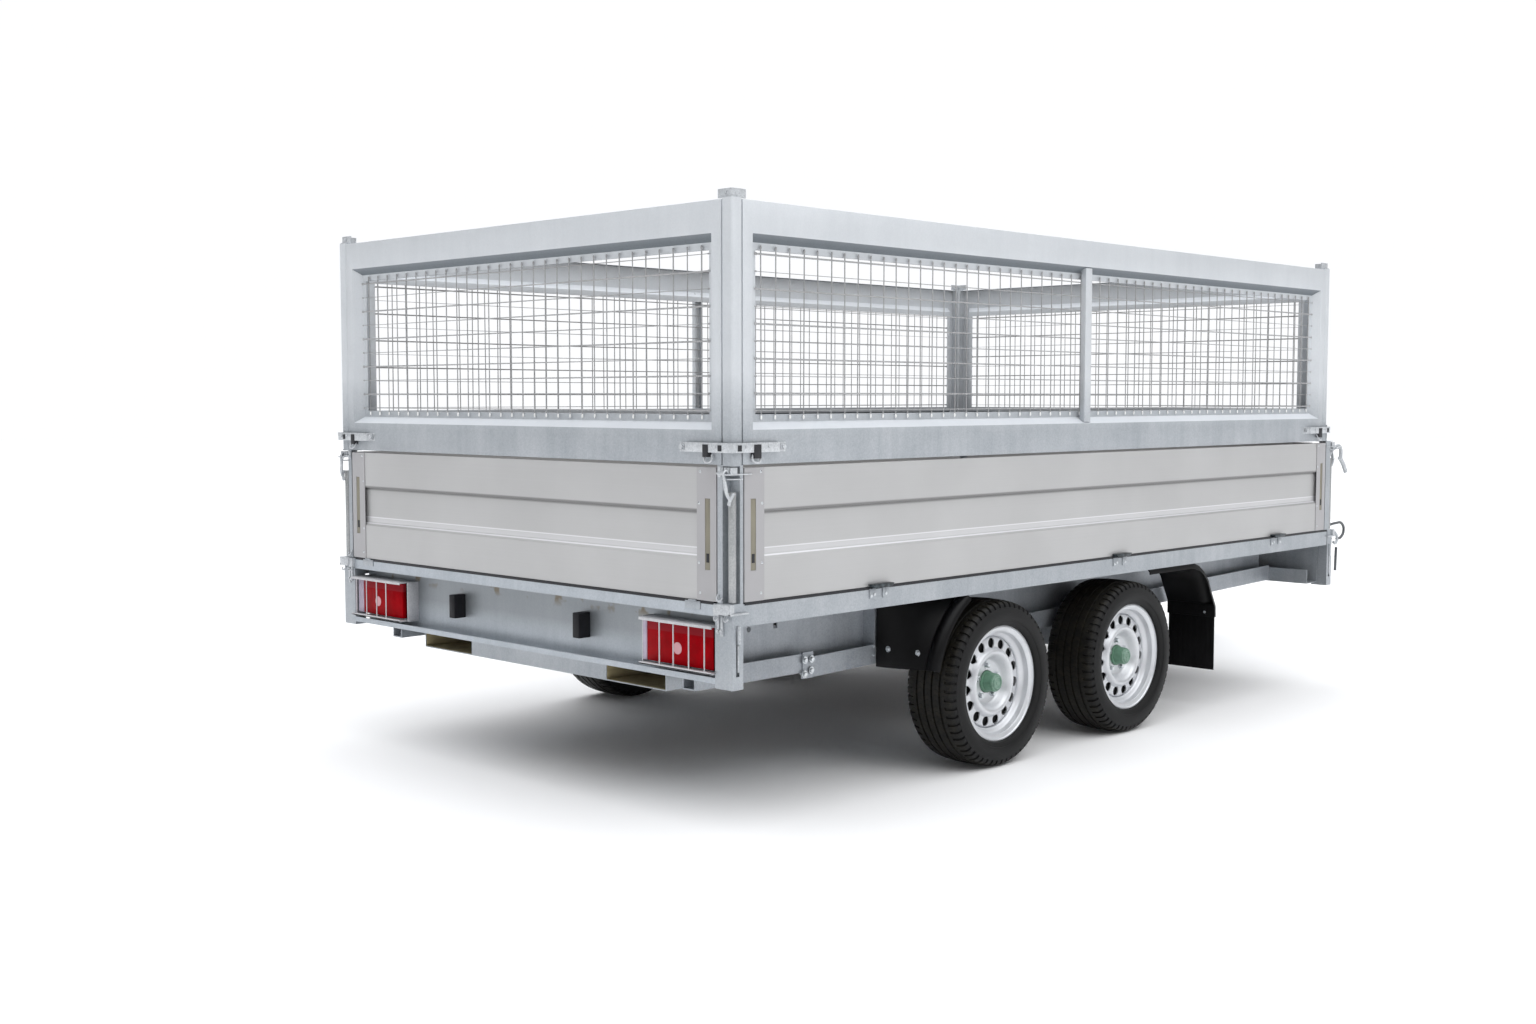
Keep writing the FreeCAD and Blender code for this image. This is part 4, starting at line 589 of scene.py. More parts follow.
# Enamel flows over the casting's 4 mm sand grain and gathers grime in 22 mm spots. The cap's lacquer is glossier,
# with 11 mm spots, the drum and its ring are near black, matt and rough as painted shade, and zinc plate is a
# mirror with 17 mm clouds.
hub_paint = coated("green_enamel_on_cast_iron", "3F6650", "6F9A80", (260.0, 4.0), (0.3, 0.0008), 0.36, (45.0, 5.0))
cap_green = coated("pale_green_lacquer_on_steel", "486F5A", "86A694", (90.0, 5.0), (0.2, 0.0006), 0.22)
cast_iron = coated("near_black_drum_painted_shade", "0A0A0B", "151517", (220.0, 4.0), (0.4, 0.0008), 0.7)
bright_zinc, tree, place = start_material("bright_zinc_plate")
haze = add_node(tree, "TexNoise", {"Vector": place, "Scale": 60.0, "Detail": 4.0}).outputs["Fac"]
gloss = add_node(tree, "MapRange", {"Value": haze, "To Min": 0.2, "To Max": 0.38}).outputs["Result"]
coat(tree, haze, "B4B8BB", "DFE3E6", sockets={"Roughness": gloss, "Metallic": 0.9})
hub_parts = [(drum, "brake_drum_", cast_iron), (nose, "hub_nose_", hub_paint), (cap, "grease_cap_", cap_green),
             (wheel_bolts, "wheel_bolts_", bright_zinc)]
for part, name, finish in hub_parts:
    smooth(part, 30)
for wheel, (shift, mirrored) in wheel_places.items():
    for part, name, finish in hub_parts:
        piece = copy_piece(part, name + wheel, (0.0, shift, 0.0), mirrored)
        fit(piece, name + wheel, finish, "wheel_" + wheel, "green_hub", "hub_" + wheel)
for part, name, finish in hub_parts:
    bpy.data.objects.remove(part)

# Cage panels: each is one frame pressed from galvanised sheet steel, with a wide rail above and below,
# a step all round its window and a lip. The side frames have one folded channel as a divider.
panel_low, panel_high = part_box("cage_panel_rear")
side_low, side_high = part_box("cage_panel_right")
rear_y = panel_low.y
side_x = side_high.x
cage_middle = (rear_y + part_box("cage_panel_front")[1].y) / 2
stile_face = 0.036
top_rail_face = 0.085
low_rail_face = 0.091
step_run = 0.020
frame_depth = 0.030
lip_width = 0.020
frame_sheet = 0.003
divider_half = 0.018
divider_depth = 0.019
divider_y = (side_low.y + side_high.y) / 2 - 0.046
rearward = (0, -1, 0)


def pick_edges(piece, wanted):
    """Select the edges whose two ends are wanted, and stay in edit mode."""
    if bpy.context.mode != "OBJECT":
        bpy.ops.object.mode_set(mode="OBJECT")
    pick_only(piece)
    bpy.ops.object.mode_set(mode="EDIT")
    bpy.ops.mesh.select_mode(type="EDGE")
    bpy.ops.mesh.select_all(action="DESELECT")
    bpy.ops.object.mode_set(mode="OBJECT")
    points = piece.data.vertices
    for edge in piece.data.edges:
        edge.select = wanted(points[edge.vertices[0]].co, points[edge.vertices[1]].co)
    bpy.ops.object.mode_set(mode="EDIT")


def thicken(piece, sheet, soft):
    """Give an open sheet its thickness on the inside of its rear face, and soften its edges."""
    if bpy.context.mode == "OBJECT":
        bpy.ops.object.mode_set(mode="EDIT")
    bpy.ops.mesh.select_all(action="SELECT")
    bpy.ops.mesh.normals_make_consistent(inside=False)
    bpy.ops.object.mode_set(mode="OBJECT")
    front = max(piece.data.polygons, key=lambda face: face.area)
    if front.normal.y > 0:
        piece.data.flip_normals()
    apply_modifier(piece, "SOLIDIFY", thickness=sheet, offset=-1.0)
    apply_modifier(piece, "BEVEL", width=soft, segments=2, limit_method="ANGLE", angle_limit=0.5)
    smooth(piece, 32)
    return piece


def rear_sheet(u0, u1, z0, z1):
    """Flat sheet in the rear plane between two places across and two heights."""
    bpy.ops.object.select_all(action="DESELECT")
    bpy.ops.mesh.primitive_plane_add(size=1, location=((u0 + u1) / 2, rear_y, (z0 + z1) / 2),
                                     rotation=(math.pi / 2, 0, 0))
    piece = bpy.context.object
    piece.scale = (u1 - u0, z1 - z0, 1)
    bpy.ops.object.transform_apply()
    return piece


def pressed_frame(u0, u1):
    """Frame in the rear plane between two places across, with its step, lip and turned-back edges."""
    piece = rear_sheet(u0, u1, panel_low.z, panel_high.z)
    pick_faces(piece, lambda centre: True)
    bpy.ops.mesh.inset(thickness=stile_face)
    bpy.ops.object.mode_set(mode="OBJECT")
    for vertex in piece.data.vertices:
        if u0 + 0.01 < vertex.co.x < u1 - 0.01:
            upper = vertex.co.z > (panel_low.z + panel_high.z) / 2
            vertex.co.z += stile_face - top_rail_face if upper else low_rail_face - stile_face
    bpy.ops.object.mode_set(mode="EDIT")
    bpy.ops.mesh.inset(thickness=step_run, depth=-frame_depth)
    bpy.ops.mesh.inset(thickness=lip_width)
    bpy.ops.mesh.delete(type="FACE")

    def on_outside(a, b):
        across = min(a.x, b.x) > u1 - 0.001 or max(a.x, b.x) < u0 + 0.001
        up = min(a.z, b.z) > panel_high.z - 0.001 or max(a.z, b.z) < panel_low.z + 0.001
        return across or up

    pick_edges(piece, on_outside)
    bpy.ops.mesh.extrude_region_move(TRANSFORM_OT_translate={"value": (0, frame_depth - frame_sheet, 0)})
    bpy.ops.object.mode_set(mode="OBJECT")
    return thicken(piece, frame_sheet, 0.0022)


def channel_divider(u):
    """Folded channel that divides a side window, open inwards."""
    piece = rear_sheet(u - divider_half, u + divider_half, panel_low.z + low_rail_face + 0.004,
                       panel_high.z - top_rail_face - 0.004)
    pick_edges(piece, lambda a, b: abs(a.x - b.x) < 1e-5)
    bpy.ops.mesh.extrude_region_move(TRANSFORM_OT_translate={"value": (0, divider_depth, 0)})
    bpy.ops.object.mode_set(mode="OBJECT")
    return thicken(piece, frame_sheet, 0.0016)


def to_side(piece):
    """Turn a piece from the rear plane into the right side's plane."""
    for vertex in piece.data.vertices:
        x, y, z = vertex.co
        vertex.co = (side_x - (y - rear_y), x, z)
    return piece


def mirror_copy(piece, name, across=True, end=None):
    """Copy mirrored to the left side, to the other end about a middle, or both."""
    other = copy_piece(piece, name, mirrored=across)
    if end is not None:
        for vertex in other.data.vertices:
            vertex.co.y = 2 * end - vertex.co.y
        other.data.flip_normals()
    return other


frames = {"rear": pressed_frame(panel_low.x, panel_high.x)}
frames["right"] = to_side(join_pieces([pressed_frame(side_low.y, side_high.y), channel_divider(divider_y)]))
frames["front"] = mirror_copy(frames["rear"], "frame", False, cage_middle)
frames["left"] = mirror_copy(frames["right"], "frame")
for name in ("rear", "front", "right", "left"):
    fit(frames[name], "cage_frame_pressed_" + name, cage_zinc, "trailer", "galvanised_steel", "cage_panel_" + name)

# Cage mesh: drawn steel wire of 3.4 mm, galvanised, in an upright layer and a level layer on its outside.
# Each wire is welded to the lip's outside by a small bead, and none lies quite straight. The lower beads and tips
# are painted near white, a painted highlight.
wire_radius = 0.0017
upright_pitch = 0.0555
level_pitch = 0.0457
wire_seat = 0.012
wire_sway = 0.0016
sway_turn = 311
upright_stand, level_stand = 1.05, 3.2
weld_radius = 0.0042
weld_inset = 0.004
window_edge = step_run + lip_width - wire_seat
window_low = panel_low.z + low_rail_face + window_edge
window_high = panel_high.z - top_rail_face - window_edge


def wire_grid(u0, u1, level):
    """Round wires with a weld bead at each end, between two places across in the rear plane."""
    sides = (u0 + stile_face + window_edge, u1 - stile_face - window_edge)
    heights = (window_low, window_high)
    (near, far), (start, end) = (heights, sides) if level else (sides, heights)
    pitch = level_pitch if level else upright_pitch
    count = int((far - near - 2 * wire_seat) / pitch + 1e-6)
    first = (near + far - count * pitch) / 2
    y = rear_y + frame_depth - frame_sheet - wire_radius * (level_stand if level else upright_stand)
    bpy.ops.object.select_all(action="DESELECT")
    bpy.ops.mesh.primitive_cylinder_add(vertices=8, radius=wire_radius, depth=end - start,
                                        rotation=(0, math.pi / 2 if level else 0, 0),
                                        location=((start + end) / 2, y, first) if level
                                        else (first, y, (start + end) / 2))
    parts = [bpy.context.object]
    for tip in (start + weld_inset, end - weld_inset):
        bpy.ops.object.select_all(action="DESELECT")
        bpy.ops.mesh.primitive_uv_sphere_add(segments=8, ring_count=6, radius=weld_radius,
                                             location=(tip, y, first) if level else (first, y, tip),
                                             scale=(1.5, 0.55, 0.8) if level else (0.8, 0.55, 1.5))
        parts.append(bpy.context.object)
    wires = join_pieces(parts)
    bpy.ops.object.transform_apply()
    apply_modifier(wires, "ARRAY", count=count + 1, use_relative_offset=False, use_constant_offset=True,
                   constant_offset_displace=(0, 0, pitch) if level else (pitch, 0, 0))
    for vertex in wires.data.vertices:
        along, side = (vertex.co.x, vertex.co.z) if level else (vertex.co.z, vertex.co.x)
        drift = wire_sway * math.sin(sway_turn * round(side / pitch)) * (1 if along > (start + end) / 2 else -1)
        vertex.co += drift * mathutils.Vector((0, 0, 1) if level else (1, 0, 0))
    smooth(wires, 40)
    return wires


wire_zinc = galvanised("drawn_wire_zinc", "B2B2B3", "929394", 0.25, 0.5)
# Painted highlight: a near-white band over the lower weld beads.
lower_weld_highlight_level = window_low + weld_inset
overlay(wire_zinc, level_band(wire_zinc, lower_weld_highlight_level - 0.008, lower_weld_highlight_level - 0.006, lower_weld_highlight_level + 0.005,
                              lower_weld_highlight_level + 0.007, 0.95), "F6F6F4")
uprights = {"rear": wire_grid(panel_low.x, panel_high.x, False)}
rear_levels = wire_grid(panel_low.x, panel_high.x, True)
uprights["right"] = to_side(wire_grid(side_low.y, side_high.y, False))
side_levels = to_side(wire_grid(side_low.y, side_high.y, True))
uprights["front"] = mirror_copy(uprights["rear"], "wires", False, cage_middle)
uprights["left"] = mirror_copy(uprights["right"], "wires")
for name in ("rear", "front", "right", "left"):
    fit(uprights[name], "cage_uprights_round_" + name, wire_zinc, "trailer", "galvanised_steel",
        "cage_panel_" + name)
levels = join_pieces([rear_levels, mirror_copy(rear_levels, "levels", False, cage_middle), side_levels,
                      mirror_copy(side_levels, "levels")])
fit(levels, "mesh_level_wires_round", wire_zinc, "trailer", "galvanised_steel", "mesh_level_wires")

# Corner straps and top brackets: flat galvanised strip bent round each cage corner and bolted through
# its two feet. Black blocks behind it are painted shade for the dark openings under it, and wire hooks hang
# from its edge.
strap_corner = (side_x, rear_y, panel_low.z + 0.032)
strap_tall = 0.026
strap_line = [(-200, -0.5), (-172, -0.5), (-166, -13), (5, -13), (13, -5), (13, 166), (0.5, 172), (0.5, 200)]
foot_bolt = (0.0072, 0.006, 0.0015)
foot_bolt_places = [((-186, -4.5, 13), rearward), ((4.5, 186, 13), outward)]
strap_bolt = (0.0045, 0.003)
strap_bolt_places = [((-50, -13.2, 15), rearward), ((-18, -13.2, 15), rearward), ((13, 40, 15), outward),
                     ((13, 125, 15), outward)]
hook_line = [(-94, -3, -4), (-94, -11, -20), (-80, -13, -27), (-66, -10, -20), (-70, -6, -6)]
strap_shade_spans = [((-97, -15, -12), (-77, 1, 21)), ((-1, 68, -16), (15, 94, 21)),
                 ((-40, -14.5, 4), (-26, -6, 20)), ((6, 8, 4), (14.5, 22, 20))]
bracket_tall = 0.024
bracket_line = [(-60, 8), (-8, 8), (-8, 60)]
bracket_corner = (side_x, rear_y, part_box("cage_brackets")[1].z - bracket_tall)
strip_sheet = 0.004


def placed(origin, *points):
    """Places in metres of points given in millimetres from an origin."""
    return [tuple(o + p / 1000 for o, p in zip(origin, point)) for point in points]


def folded_strip(corner, line, tall):
    """Strip of flat bar on edge, folded along a line of (x, y) in millimetres from a corner."""
    points = placed(corner, *[(x, y, 0) for x, y in line])
    strip = start_outline(points)
    first, last = mathutils.Vector(points[0]), mathutils.Vector(points[-1])
    pick_edges(strip, lambda a, b: min((a - first).length + (b - last).length,
                                       (a - last).length + (b - first).length) < 1e-5)
    bpy.ops.mesh.delete(type="EDGE")
    bpy.ops.mesh.select_all(action="SELECT")
    bpy.ops.mesh.extrude_region_move(TRANSFORM_OT_translate={"value": (0, 0, tall)})
    bpy.ops.object.mode_set(mode="OBJECT")
    return thicken(strip, strip_sheet, 0.0008)


def block(low, high, soft=0.0008):
    """Block between two corners with soft edges."""
    bpy.ops.object.select_all(action="DESELECT")
    bpy.ops.mesh.primitive_cube_add(size=1, location=[(a + b) / 2 for a, b in zip(low, high)])
    piece = bpy.context.object
    piece.scale = [b - a for a, b in zip(low, high)]
    bpy.ops.object.transform_apply()
    apply_modifier(piece, "BEVEL", width=soft, segments=2, limit_method="NONE")
    smooth(piece, 40)
    return piece


def bent_rod(points, radius):
    """Round wire or bar bent through a line of points, with rounded bends and closed ends."""
    line = bpy.data.curves.new("rod", "CURVE")
    line.dimensions = "3D"
    line.bevel_depth = radius
    line.bevel_resolution = 2
    line.use_fill_caps = True
    line.resolution_u = 4
    spline = line.splines.new("BEZIER")
    spline.bezier_points.add(len(points) - 1)
    for knot, point in zip(spline.bezier_points, points):
        knot.co = point
        knot.handle_left_type = knot.handle_right_type = "AUTO"
    rod = bpy.data.objects.new("rod", line)
    bpy.context.scene.collection.objects.link(rod)
    pick_only(rod)
    bpy.ops.object.convert(target="MESH")
    smooth(bpy.context.object, 60)
    return bpy.context.object


def both_sides(piece):
    """Join a piece of the right side with its like on the left."""
    return join_pieces([piece, mirror_copy(piece, "left")])


def at_corners(piece, middle):
    """Join a piece of the right rear corner with its likes at the other three corners."""
    others = [mirror_copy(piece, "left"), mirror_copy(piece, "ahead", False, middle),
              mirror_copy(piece, "left_ahead", True, middle)]
    return join_pieces([piece] + others)


strap_parts = [folded_strip(strap_corner, strap_line, strap_tall)]
strap_parts += [hex_bolt(*placed(strap_corner, spot), way, *foot_bolt) for spot, way in foot_bolt_places]
strap_parts += [hex_bolt(*placed(strap_corner, spot), way, *strap_bolt) for spot, way in strap_bolt_places]
for line in (hook_line, [(-y, -x, z) for x, y, z in hook_line]):
    strap_parts.append(bent_rod(placed(strap_corner, *line), 0.0028))
strap_parts.append(folded_strip(bracket_corner, bracket_line, bracket_tall))
strap_parts.append(block(*placed(bracket_corner, (-40, 4, 0), (-4, 40, 4))))
strap_parts.append(hex_bolt(*placed(bracket_corner, (-30, 8, 13)), rearward, 0.005, 0.004))
bright_strip = galvanised("bright_galvanised_strip", "D6D9DC", "A4A8AC", 0.25, 0.36)
fit(at_corners(join_pieces(strap_parts), cage_middle), "cage_corner_straps", bright_strip, "trailer",
    "galvanised_steel", "cage_brackets")
# Moulded rubber is dull and even. Its grain is drawn 3.3 mm wide, since the real one is too fine to show.
# The same black serves as painted shade in the strap's openings and in the gap under the planks.
black_rubber_and_shade = coated("black_rubber_and_painted_shade", "15161A", "2A2B30", (300.0, 3.0), (0.25, 0.0005), 0.6)
# Painted shade: black blocks in the openings between the strap and the panels.
strap_shade = join_pieces([block(*placed(strap_corner, *ends)) for ends in strap_shade_spans])
fit(at_corners(strap_shade, cage_middle), "strap_painted_shade_blocks", black_rubber_and_shade, "trailer", "black_plastic")

# Corner latches: a galvanised locking bar stands in each stake's groove, under a toothed plate. A handle
# bent from round wire lifts it, and folded plates, bolts and small hooks hold it at the pocket.
bed_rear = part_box("side_rails")[0].y - 0.040
bed_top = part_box("side_rails")[1].z
bed_middle = (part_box("corner_pockets")[0].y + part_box("corner_pockets")[1].y) / 2
latch_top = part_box("stake_latches")[1].z
latch_x = side_x - 0.0125
latch_y = bed_rear + 0.0125
bar_radius = 0.0105
plate_corner = (side_x, bed_rear, latch_top + 0.032)
pocket_corner = (side_x, bed_rear, bed_top)
plate_blocks = [((-40, -16, 12), (4, 38, 15.5), 0.8), ((0.8, 36, 12), (4, 70, 15.5), 0.6),
                ((-26, -10, 0), (3, 38, 3), 0.8), ((-52, -3, 6), (-40, 24, 34), 0.8)]
tooth_count = 4
tooth_pitch = 10.5
tooth = ((-34, -6, 15), (-30, 18, 32))
handle_rods = [([(-52, -4, 16), (-20, -11, 12), (-16, -12, -16), (-10, -10.5, -38), (-4, -6, -52)], 0.0034),
               ([(-8, -1, 16), (-14, -11, 24), (-10, -12, -16), (-6.4, -10.5, -38), (-4, -6, -52)], 0.0034),
               ([(-10, -3, -66), (-4, -2, -50), (2, 4, -34)], 0.0050)]
pocket_blocks = [((-63, -10, -30), (-43, 2, -1)), ((-45, -14, -26), (6, 2, 2)), ((-2, -14, -26), (10, 52, -21)),
                 ((-55, -4.5, -78), (-46, 2, -30)), ((-41, -4.5, -84), (-32, 2, -30)),
                 ((-2, 16, -104), (7, 25, -56)), ((-2, 18, -178), (3, 23, -106))]
pocket_bolt = (0.0050, 0.004)
pocket_bolt_places = [(-50.5, -4.5, -70), (-36.5, -4.5, -70)]
hook_radius = 0.0024
pocket_hooks = [[(-59, -4, -28), (-58, -11, -38), (-49, -14, -42), (-42, -11, -34)],
                [(-21, -4, -28), (-20, -11, -38), (-11, -14, -42), (-4, -11, -34)],
                [(-51, -2, 26), (-51, -8, 14), (-39, -9, 9), (-33, -3, 18)]]
bpy.ops.object.select_all(action="DESELECT")
bpy.ops.mesh.primitive_cylinder_add(vertices=24, radius=bar_radius, depth=latch_top - bed_top - 0.006,
                                    location=(latch_x, latch_y, (latch_top + bed_top + 0.004) / 2))
latch_bar = bpy.context.object
bpy.ops.object.transform_apply()
apply_modifier(latch_bar, "BEVEL", width=0.0012, segments=2, limit_method="ANGLE", angle_limit=0.5)
smooth(latch_bar, 40)
latch_parts = [block(*placed(plate_corner, low, high), soft / 1000) for low, high, soft in plate_blocks]
for i in range(tooth_count):
    ends = [(x + tooth_pitch * i, y, z) for x, y, z in tooth]
    latch_parts.append(block(*placed(plate_corner, *ends), 0.0004))
latch_parts += [bent_rod(placed(plate_corner, *line), radius) for line, radius in handle_rods]
latch_parts += [block(*placed(pocket_corner, *ends)) for ends in pocket_blocks]
latch_parts += [hex_bolt(*placed(pocket_corner, spot), rearward, *pocket_bolt) for spot in pocket_bolt_places]
latch_parts += [bent_rod(placed(pocket_corner, *line), hook_radius) for line in pocket_hooks]
bar_zinc = galvanised("locking_bar_zinc", "BBBCBC", "8F9294", 0.45, 0.4)
fit(at_corners(latch_bar, bed_middle), "locking_bars", bar_zinc, "trailer", "galvanised_steel", "stake_latches")
fit(at_corners(join_pieces(latch_parts), bed_middle), "latch_fittings", bright_strip, "trailer",
    "galvanised_steel", "stake_latches")

# Front latches: on the front stakes the handle is a longer lever of round bar, lying back over the drawbar,
# and a ring of dull bent rod hangs beside the pocket with a pull rod below it.
front_y = 2 * bed_middle - bed_rear
lever_head = (latch_x, front_y, latch_top)
lever_foot = (latch_x, front_y, bed_top)
levers = join_pieces([bent_rod(placed(lever_head, (0, -20, 10), (0, 40, 44), (0, 85, 40), (0, 92, -4)), 0.0075),
                      block(*placed(lever_head, (-12, -30, 34), (12, 60, 38))),
                      bent_rod(placed(lever_head, (0, 80, -2), (0, 108, -22), (0, 140, -62)), 0.0085),
                      bent_rod(placed(lever_foot, (6, 40, -12), (6, 62, -34), (6, 50, -58), (6, 30, -52)), 0.0055)])
fit(both_sides(levers), "front_latch_levers", bright_strip, "trailer", "galvanised_steel")
rings = join_pieces([bent_rod(placed(lever_foot, (4, -4, 21), (4, 55, 25), (4, 108, 20), (4, 126, -8),
                                     (4, 100, -36), (4, 62, -40)), 0.0055),
                     bent_rod(placed(lever_foot, (8, 52, -74), (8, 49, -120), (8, 47, -170)), 0.0055)])
dark_rod = galvanised("dull_bent_rod", "77797B", "3E4246", 0.5, 0.45)
fit(both_sides(rings), "front_ring_handles", dark_rod, "trailer", "dark_steel")

# End caps' fastenings: pop rivets hold each grey cap to its plank. The slot beside them shows a strip of
# moulded olive plastic, with grime in streaks 17 mm wide and 110 mm long, and the latch's black catch in it.
cap_width = 0.074
cap_foot = bed_top + 0.005
slot_low = cap_foot + (0.353 - 0.190) / 2
rivet_places = [(0.061, 0.342), (0.066, 0.258), (0.066, 0.100), (0.062, 0.020)]
rivet_radius = 0.0042
rivet_flat = 0.42
strip_front = 0.0017
olive_plastic, tree, place = start_material("olive_grey_slide_plastic")
upright = add_node(tree, "Mapping", {"Vector": place, "Scale": (60.0, 60.0, 9.0)}).outputs["Vector"]
grime = add_node(tree, "TexNoise", {"Vector": upright, "Scale": 1.0, "Detail": 4.0}).outputs["Fac"]
coat(tree, grime, "6F6B60", "96917F", grime, (0.15, 0.0008), {"Roughness": 0.55})


def cap_fastenings(name, start, end, plane, across):
    """Rivets, slot strips and catches of both caps of a plank, across the trailer or along it."""
    def spot(u, v, z):
        return (u, v, z) if across else (v, u, z)

    rivets, strips, catches = [], [], []
    inward = strip_front if plane < 0 else -strip_front
    back, front = sorted((plane + inward * 0.55, plane + inward))
    for edge, turn in ((start, 1), (end, -1)):
        for reach, up in rivet_places:
            bpy.ops.object.select_all(action="DESELECT")
            bpy.ops.mesh.primitive_uv_sphere_add(segments=12, ring_count=8, radius=rivet_radius,
                                                 location=spot(edge + turn * reach, plane, cap_foot + up),
                                                 scale=spot(1, rivet_flat, 1))
            rivets.append(bpy.context.object)
        middle = edge + turn * (cap_width / 2 - 0.004)
        for pieces, half, low, high, deep in ((strips, 0.0099, 0.0005, 0.1895, 0.0),
                                              (catches, 0.0055, 0.020, 0.044, 0.0006)):
            near, far = (back - deep, front) if plane < 0 else (back, front + deep)
            pieces.append(block(spot(middle - half, near, slot_low + low),
                                spot(middle + half, far, slot_low + high), 0.0002))
    for pieces, kind, finish, slot in ((rivets, "cap_rivets_", bright_zinc, "anodised_aluminium"),
                                       (strips, "cap_slot_strips_", olive_plastic, "cap_plastic"),
                                       (catches, "cap_catches_", black_rubber_and_shade, "black_plastic")):
        whole = join_pieces(pieces)
        pick_only(whole)
        bpy.ops.object.transform_apply()
        smooth(whole, 40)
        fit(whole, kind + name, finish, "dropside_" + name, slot)


for name, outside in (("right", 1), ("left", 0)):
    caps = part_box("end_caps_" + name)
    cap_fastenings(name, caps[0].y, caps[1].y, caps[outside].x, False)
for name, outside in (("rear", 0), ("front", 1)):
    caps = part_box("end_caps_" + name)
    cap_fastenings(name, caps[0].x, caps[1].x, caps[outside].y, True)

# Hinges of the drop sides: a folded steel leaf under the plank's lower edge turns on knuckles whose
# galvanised lugs are bolted to the rail below. The ends' hinges are plain. The long sides' leaves are near black,
# in smears of 14 mm that are now glossy, now dull.
hinge_middles = (-1.838, -0.576, 0.536)
hinge_reach = 0.0475
hinge_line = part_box("hinge_leaves_right")[1].x
leaf_taper = 0.80
lug_sheet = 0.0028
lug_spans = ((-0.043, -0.016), (0.014, 0.043))
lug_bolt = (0.0052, 0.0018)
lug_bolt_places = ((-0.036, 0.022), (-0.022, 0.018), (0.028, 0.019))
end_lug_half = 0.030
knuckle_half = 0.015
front_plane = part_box("end_caps_front")[1].y
dark_leaf_steel, tree, place = start_material("dark_hinge_leaf_steel")
smear = add_node(tree, "TexNoise", {"Vector": place, "Scale": 70.0, "Detail": 5.0}).outputs["Fac"]
share = add_node(tree, "MapRange", {"Value": smear, "From Min": 0.4, "From Max": 0.75}).outputs["Result"]
gloss = add_node(tree, "MapRange", {"Value": smear, "To Min": 0.25, "To Max": 0.5}).outputs["Result"]
coat(tree, share, "12191D", "525B60", smear, (0.2, 0.001), {"Roughness": gloss, "Metallic": 0.4})
leaves, lugs, lug_bolts = [], [], []
for middle in hinge_middles:
    leaf = block((side_x - 0.0008, middle - hinge_reach, bed_top + 0.0010),
                 (hinge_line - 0.0002, middle + hinge_reach, bed_top + 0.0125), 0.0016)
    for vertex in leaf.data.vertices:
        if vertex.co.z < bed_top + 0.005:
            vertex.co.y = middle + (vertex.co.y - middle) * leaf_taper
    leaves.append(leaf)
    for start, end in lug_spans:
        lugs.append(block((side_x, middle + start, bed_top - 0.030),
                          (side_x + lug_sheet, middle + end, bed_top - 0.001)))
    for shift, drop in lug_bolt_places:
        lug_bolts.append(hex_bolt((side_x + lug_sheet, middle + shift, bed_top - drop), outward, *lug_bolt))
leaves, lugs, lug_bolts = join_pieces(leaves), join_pieces(lugs), join_pieces(lug_bolts)
fit(both_sides(lug_bolts), "hinge_lug_bolts", bright_zinc, "trailer", "galvanised_steel")
fit(mirror_copy(leaves, "leaves"), "hinge_leaf_plates_left", dark_leaf_steel, "dropside_left", "dark_steel",
    "hinge_leaves_left")
fit(leaves, "hinge_leaf_plates_right", dark_leaf_steel, "dropside_right", "dark_steel", "hinge_leaves_right")
end_lugs = []
for name, plane, out, lug_middle in (("rear", rear_y, -1, 0.794), ("front", front_plane, 1, 0.784)):
    knuckles = []
    for middle in (-lug_middle, lug_middle):
        near, far = sorted((plane, plane + out * 0.0025))
        end_lugs.append(block((middle - end_lug_half, near, bed_top - 0.020),
                              (middle + end_lug_half, far, bed_top + 0.001)))
    leaf_low, leaf_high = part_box("hinge_leaves_" + name)
    for middle in (leaf_low.x + knuckle_half, leaf_high.x - knuckle_half):
        near, far = sorted((plane, plane + out * 0.004))
        knuckles.append(block((middle - knuckle_half, near, bed_top + 0.0012),
                              (middle + knuckle_half, far, bed_top + 0.0048), 0.0006))
    fit(join_pieces(knuckles), "hinge_leaf_plates_" + name, zinc, "dropside_" + name, "galvanised_steel",
        "hinge_leaves_" + name)
fit(join_pieces([both_sides(lugs)] + end_lugs), "hinge_lugs", zinc, "trailer", "galvanised_steel", "hinge_brackets")

# Gap shade: black strips in the 5 mm gap between the planks and the rails, with a thin lip to the outside,
# as painted shade that shows the gap as a dark line. Each is listed by its two edges, its drop below and rise
# above the bed's top, and its rounding.
side_shade_strips = [(-0.014, -0.004, 0.0012, 0.0046, 0.0003), (-0.0050, 0.0006, 0.0035, 0.0042, 0.0002)]
end_shade_strips = [(rear_y + 0.004, rear_y + 0.014, 0.0012, 0.0046, 0.0003),
             (rear_y - 0.0006, rear_y + 0.005, 0.0035, 0.0042, 0.0002),
             (front_plane - 0.014, front_plane - 0.004, 0.0012, 0.0046, 0.0003)]
side_shade_gap, end_shade_gap = 0.045, 0.070
gap_shade_strips = []
for near, far, drop, rise, soft in side_shade_strips:
    for side in (1, -1):
        x0, x1 = sorted((side * (side_x + near), side * (side_x + far)))
        gap_shade_strips.append(block((x0, bed_rear + side_shade_gap, bed_top - drop),
                           (x1, front_y - side_shade_gap, bed_top + rise), soft))
for y0, y1, drop, rise, soft in end_shade_strips:
    gap_shade_strips.append(block((-side_x + end_shade_gap, y0, bed_top - drop), (side_x - end_shade_gap, y1, bed_top + rise),
                       soft))
fit(join_pieces(gap_shade_strips), "gap_painted_shade_strips", black_rubber_and_shade, "trailer", "black_plastic")

